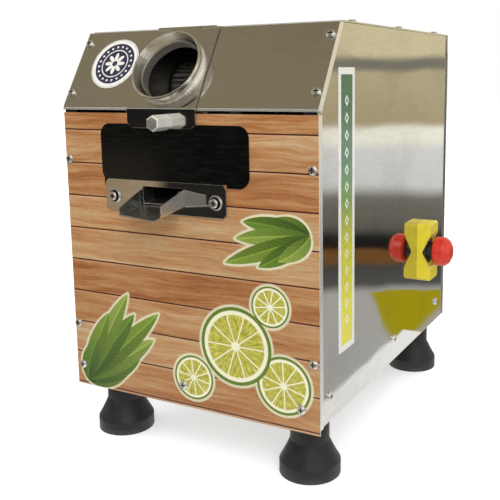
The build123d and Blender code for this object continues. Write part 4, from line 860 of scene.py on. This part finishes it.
def weld_bead():
    """A rippled bead in the corner between the mouth and the hatch."""
    mesh = bmesh.new()
    centre = SLANT_UP * MOUTH_RISE + SLANT_OUT * HATCH_FACE + Vector((MOUTH_X, 0, 0))
    rings = []
    for step in range(BEAD_STEPS):
        angle = 2 * pi * step / BEAD_STEPS
        outward = Vector((cos(angle), 0, 0)) + SLANT_UP * sin(angle)
        ripple = 1 + 0.16 * sin(angle * 68) + 0.10 * sin(angle * 7 + 1) + 0.06 * sin(angle * 23)
        middle = centre + outward * BEAD_RADIUS + SLANT_OUT * BEAD_LIFT
        ring = []
        for turn, rise in circle_outline(BEAD * ripple, BEAD_SIDES):
            ring.append(mesh.verts.new(middle + outward * turn + SLANT_OUT * rise))
        rings.append(ring)
    for low, high in zip(rings, rings[1:] + rings[:1]):
        for side in range(BEAD_SIDES):
            after = (side + 1) % BEAD_SIDES
            face = mesh.faces.new((low[side], high[side], high[after], low[after]))
            face.smooth = True
    bmesh.ops.recalc_face_normals(mesh, faces=mesh.faces)
    return mesh_object("mouth_weld", mesh)


bead = weld_bead()
bead.data.materials.append(own_finishes["feed_mouth"])
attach(bead, "feed_hatch")


# Studio: pale floor, white background, a surround and a mat that only polished metal sees

AMBIENT = 0.42
FLOOR = 9.0
FLOOR_GLOW = 0.42
PAPER = (0.82, 0.82, 0.815, 1)
WHITE = (1, 1, 1, 1)
SURROUND = 1.4
SURROUND_TOP = 2.1
SURROUND_SIDES = 64
SURROUND_PROFILE = [
    # share of the radius, height
    (1.0, 0.0),
    (1.0, 0.9),
    (0.96, 1.3),
    (0.8, 1.7),
    (0.5, 2.0),
    (0.02, SURROUND_TOP),
]
BROWN = (0.30, 0.255, 0.165, 1)
CREAM = (1.15, 1.13, 0.98, 1)
SHADED = (0.25, 0.245, 0.20, 1)
RUST = (0.20, 0.095, 0.03, 1)
TAN = (0.46, 0.35, 0.235, 1)
OLIVE = (0.45, 0.385, 0.01, 1)
WINDOW = (0.92, 0.91, 0.88, 1)
LIGHT_SIDE = [
    # height as a share of the top, colour
    (0.010, (0.19, 0.185, 0.15, 1)),
    (0.024, (0.23, 0.225, 0.19, 1)),
    (0.042, (0.82, 0.83, 0.82, 1)),
    (0.092, (0.88, 0.89, 0.88, 1)),
    (0.104, CREAM),
    (0.120, CREAM),
    (0.127, (0.54, 0.46, 0.28, 1)),
    (0.176, (0.60, 0.52, 0.32, 1)),
    (0.196, (0.62, 0.54, 0.34, 1)),
    (0.201, SHADED),
    (0.212, SHADED),
    (0.219, (0.86, 0.76, 0.49, 1)),
    (0.290, (0.84, 0.74, 0.47, 1)),
    (0.480, BROWN),
]
DARK_SIDE = [
    (0.0, (0.03, 0.029, 0.026, 1)),
    (0.20, (0.012, 0.012, 0.012, 1)),
    (0.25, (0.85, 0.83, 0.75, 1)),
    (0.32, (0.80, 0.78, 0.70, 1)),
    (0.38, (0.10, 0.09, 0.07, 1)),
    (0.50, BROWN),
]
LOW_LEFT_SLOPE = 0.649
MAT_LIFT = 1 * MM
MAT_RINGS = [
    # distance from the middle as a share of the surround's radius, colour
    (0.43, (0.50, 0.50, 0.475, 1)),
    (0.47, (0.11, 0.11, 0.105, 1)),
    (0.56, (0.08, 0.08, 0.076, 1)),
    (0.60, RUST),
    (0.67, RUST),
    (0.70, (0.012, 0.012, 0.012, 1)),
    (0.78, (0.02, 0.02, 0.02, 1)),
    (0.86, (0.14, 0.137, 0.115, 1)),
    (0.98, (0.18, 0.175, 0.145, 1)),
]
MAT_CENTRE = (1.1, 1.1, 1.08, 1)
MAT_HALF_SIZE = (0.22, 0.31)
OLIVE_SLOPE = 1.75


def seen_directly(made):
    """1 for rays that show the background: camera, mirror and glass rays."""
    path = made.node("ShaderNodeLightPath").outputs
    seen = made.larger(path["Is Camera Ray"], path["Is Glossy Ray"])
    return made.larger(seen, path["Is Transmission Ray"])


def stage_object(name, points, faces):
    data = bpy.data.meshes.new(name)
    data.from_pydata(points, [], faces)
    data.update()
    made = bpy.data.objects.new(name, data)
    scene.collection.objects.link(made)
    return made


def stage_square(name, half, height):
    points = [(x * half, y * half, height) for x, y in ((-1, -1), (1, -1), (1, 1), (-1, 1))]
    return stage_object(name, points, [(0, 1, 2, 3)])


def stage_dome(name):
    points = [
        (x, y, height)
        for share, height in SURROUND_PROFILE
        for x, y in circle_outline(SURROUND * share, SURROUND_SIDES)
    ]
    faces = []
    for low in range(0, len(points) - SURROUND_SIDES, SURROUND_SIDES):
        high = low + SURROUND_SIDES
        for side in range(SURROUND_SIDES):
            after = (side + 1) % SURROUND_SIDES
            faces.append((low + side, low + after, high + after, high + side))
    return stage_object(name, points, faces)


def only_mirrored(made, colour):
    """Covers an object with a glowing cloth that only polished surfaces see."""
    made.visible_camera = False
    made.visible_diffuse = False
    made.visible_transmission = False
    made.visible_volume_scatter = False
    made.visible_shadow = False
    cloth = bpy.data.materials.new(made.name + "_cloth")
    drape = Nodes(bare_tree(cloth))
    hung = drape.node("ShaderNodeEmission", {"Color": colour(drape), "Strength": 1.0})
    drape.feed(drape.node("ShaderNodeOutputMaterial").inputs["Surface"], hung.outputs[0])
    made.data.materials.append(cloth)


def surround_colour(drape):
    """Pale and beige behind, dark in front with a light strip, tan low left, a window on the right."""
    x, y, z = drape.split(drape.node("ShaderNodeTexCoord").outputs["Object"])
    share = drape.over(z, SURROUND_TOP)
    leftward = drape.minus(x, drape.times(y, LOW_LEFT_SLOPE))
    low_left = drape.times(drape.fit(leftward, 0.02, -0.06), drape.fit(z, 0.26, 0.18))
    front = drape.mix(low_left, drape.ramp(share, *DARK_SIDE), TAN)
    room = drape.mix(drape.fit(y, -0.35, 0.25), front, drape.ramp(share, *LIGHT_SIDE))
    window = drape.times(drape.fit(x, 1.05, 1.2), drape.fit(z, 1.5, 1.2))
    return drape.mix(window, room, WINDOW)


def mat_colour(drape):
    """White under the object, then grey with an olive corner, dark further out, light at the window."""
    ground = drape.node("ShaderNodeTexCoord").outputs["Object"]
    x, y, _ = drape.split(ground)
    away = drape.length(ground)
    cloth = drape.ramp(drape.over(away, SURROUND), *MAT_RINGS)
    beyond = drape.minus(y, drape.times(x, OLIVE_SLOPE))
    corner = drape.times(drape.fit(beyond, -0.14, -0.116), drape.fit(x, 0.19, 0.21))
    cloth = drape.mix(drape.times(corner, drape.fit(away, 0.61, 0.60)), cloth, OLIVE)
    aside = drape.over(drape.size(x), MAT_HALF_SIZE[0])
    deep = drape.over(drape.size(y), MAT_HALF_SIZE[1])
    cloth = drape.mix(drape.fit(drape.larger(aside, deep), 1.01, 0.99), cloth, MAT_CENTRE)
    return drape.mix(drape.fit(x, 0.9, 1.0), cloth, WINDOW)


world = bpy.data.worlds.new("studio")
scene.world = world
air = Nodes(bare_tree(world))
level = air.blend(seen_directly(air), AMBIENT, 1.0)
backdrop = air.node("ShaderNodeBackground", {"Color": WHITE, "Strength": level})
air.feed(air.node("ShaderNodeOutputWorld").inputs["Surface"], backdrop.outputs[0])

floor = stage_square("floor", FLOOR, cad_low.z - 0.1 * MM)
paper = bpy.data.materials.new("floor_paper")
sheet = Nodes(bare_tree(paper))
from_middle = sheet.length(sheet.node("ShaderNodeTexCoord").outputs["Object"])
glow = sheet.times(seen_directly(sheet), sheet.fit(from_middle, 0.3, 2.2, FLOOR_GLOW, 1.0))
matt = sheet.node("ShaderNodeBsdfDiffuse", {"Color": PAPER})
lit = sheet.node("ShaderNodeEmission", {"Color": WHITE, "Strength": glow})
both = sheet.node("ShaderNodeAddShader", {0: matt.outputs[0], 1: lit.outputs[0]})
sheet.feed(sheet.node("ShaderNodeOutputMaterial").inputs["Surface"], both.outputs[0])
floor.data.materials.append(paper)

only_mirrored(stage_dome("surround"), surround_colour)
only_mirrored(stage_square("mat", SURROUND, MAT_LIFT), mat_colour)

LAMP_TARGET = Vector((0, 0, 0.25))
LAMPS = [
    # name, place, size, power
    ("key", (1.3, -1.9, 1.9), 1.6, 41),
    ("fill", (-1.9, -0.8, 1.6), 1.8, 26),
    ("back", (0.5, 2.0, 1.7), 1.6, 30),
]
for name, place, size, power in LAMPS:
    lamp_data = bpy.data.lights.new(name, "AREA")
    lamp_data.shape = "SQUARE"
    lamp_data.size = size
    lamp_data.energy = power
    lamp = bpy.data.objects.new(name, lamp_data)
    lamp.location = place
    lamp.rotation_euler = (LAMP_TARGET - Vector(place)).to_track_quat("-Z", "Y").to_euler()
    scene.collection.objects.link(lamp)

# Camera at the photograph's place
CAMERA_PLACE = Vector((0.42742, -0.82832, 0.40542))
CAMERA_AHEAD = Vector((-0.468223, 0.869582, -0.156827)).normalized()
CAMERA_RIGHT = Vector((0.881435, 0.472102, -0.01388)).normalized()
camera_data = bpy.data.cameras.new("camera")
camera_data.sensor_width = 36.0
camera_data.lens = 55.238
camera_data.shift_x = -0.052
camera_data.shift_y = -0.104
camera = bpy.data.objects.new("camera", camera_data)
camera_up = CAMERA_RIGHT.cross(CAMERA_AHEAD).normalized()
camera_turn = Matrix((CAMERA_RIGHT, camera_up, -CAMERA_AHEAD)).transposed().to_4x4()
camera.matrix_world = Matrix.Translation(CAMERA_PLACE) @ camera_turn
scene.collection.objects.link(camera)
scene.camera = camera
scene.view_settings.view_transform = "Standard"
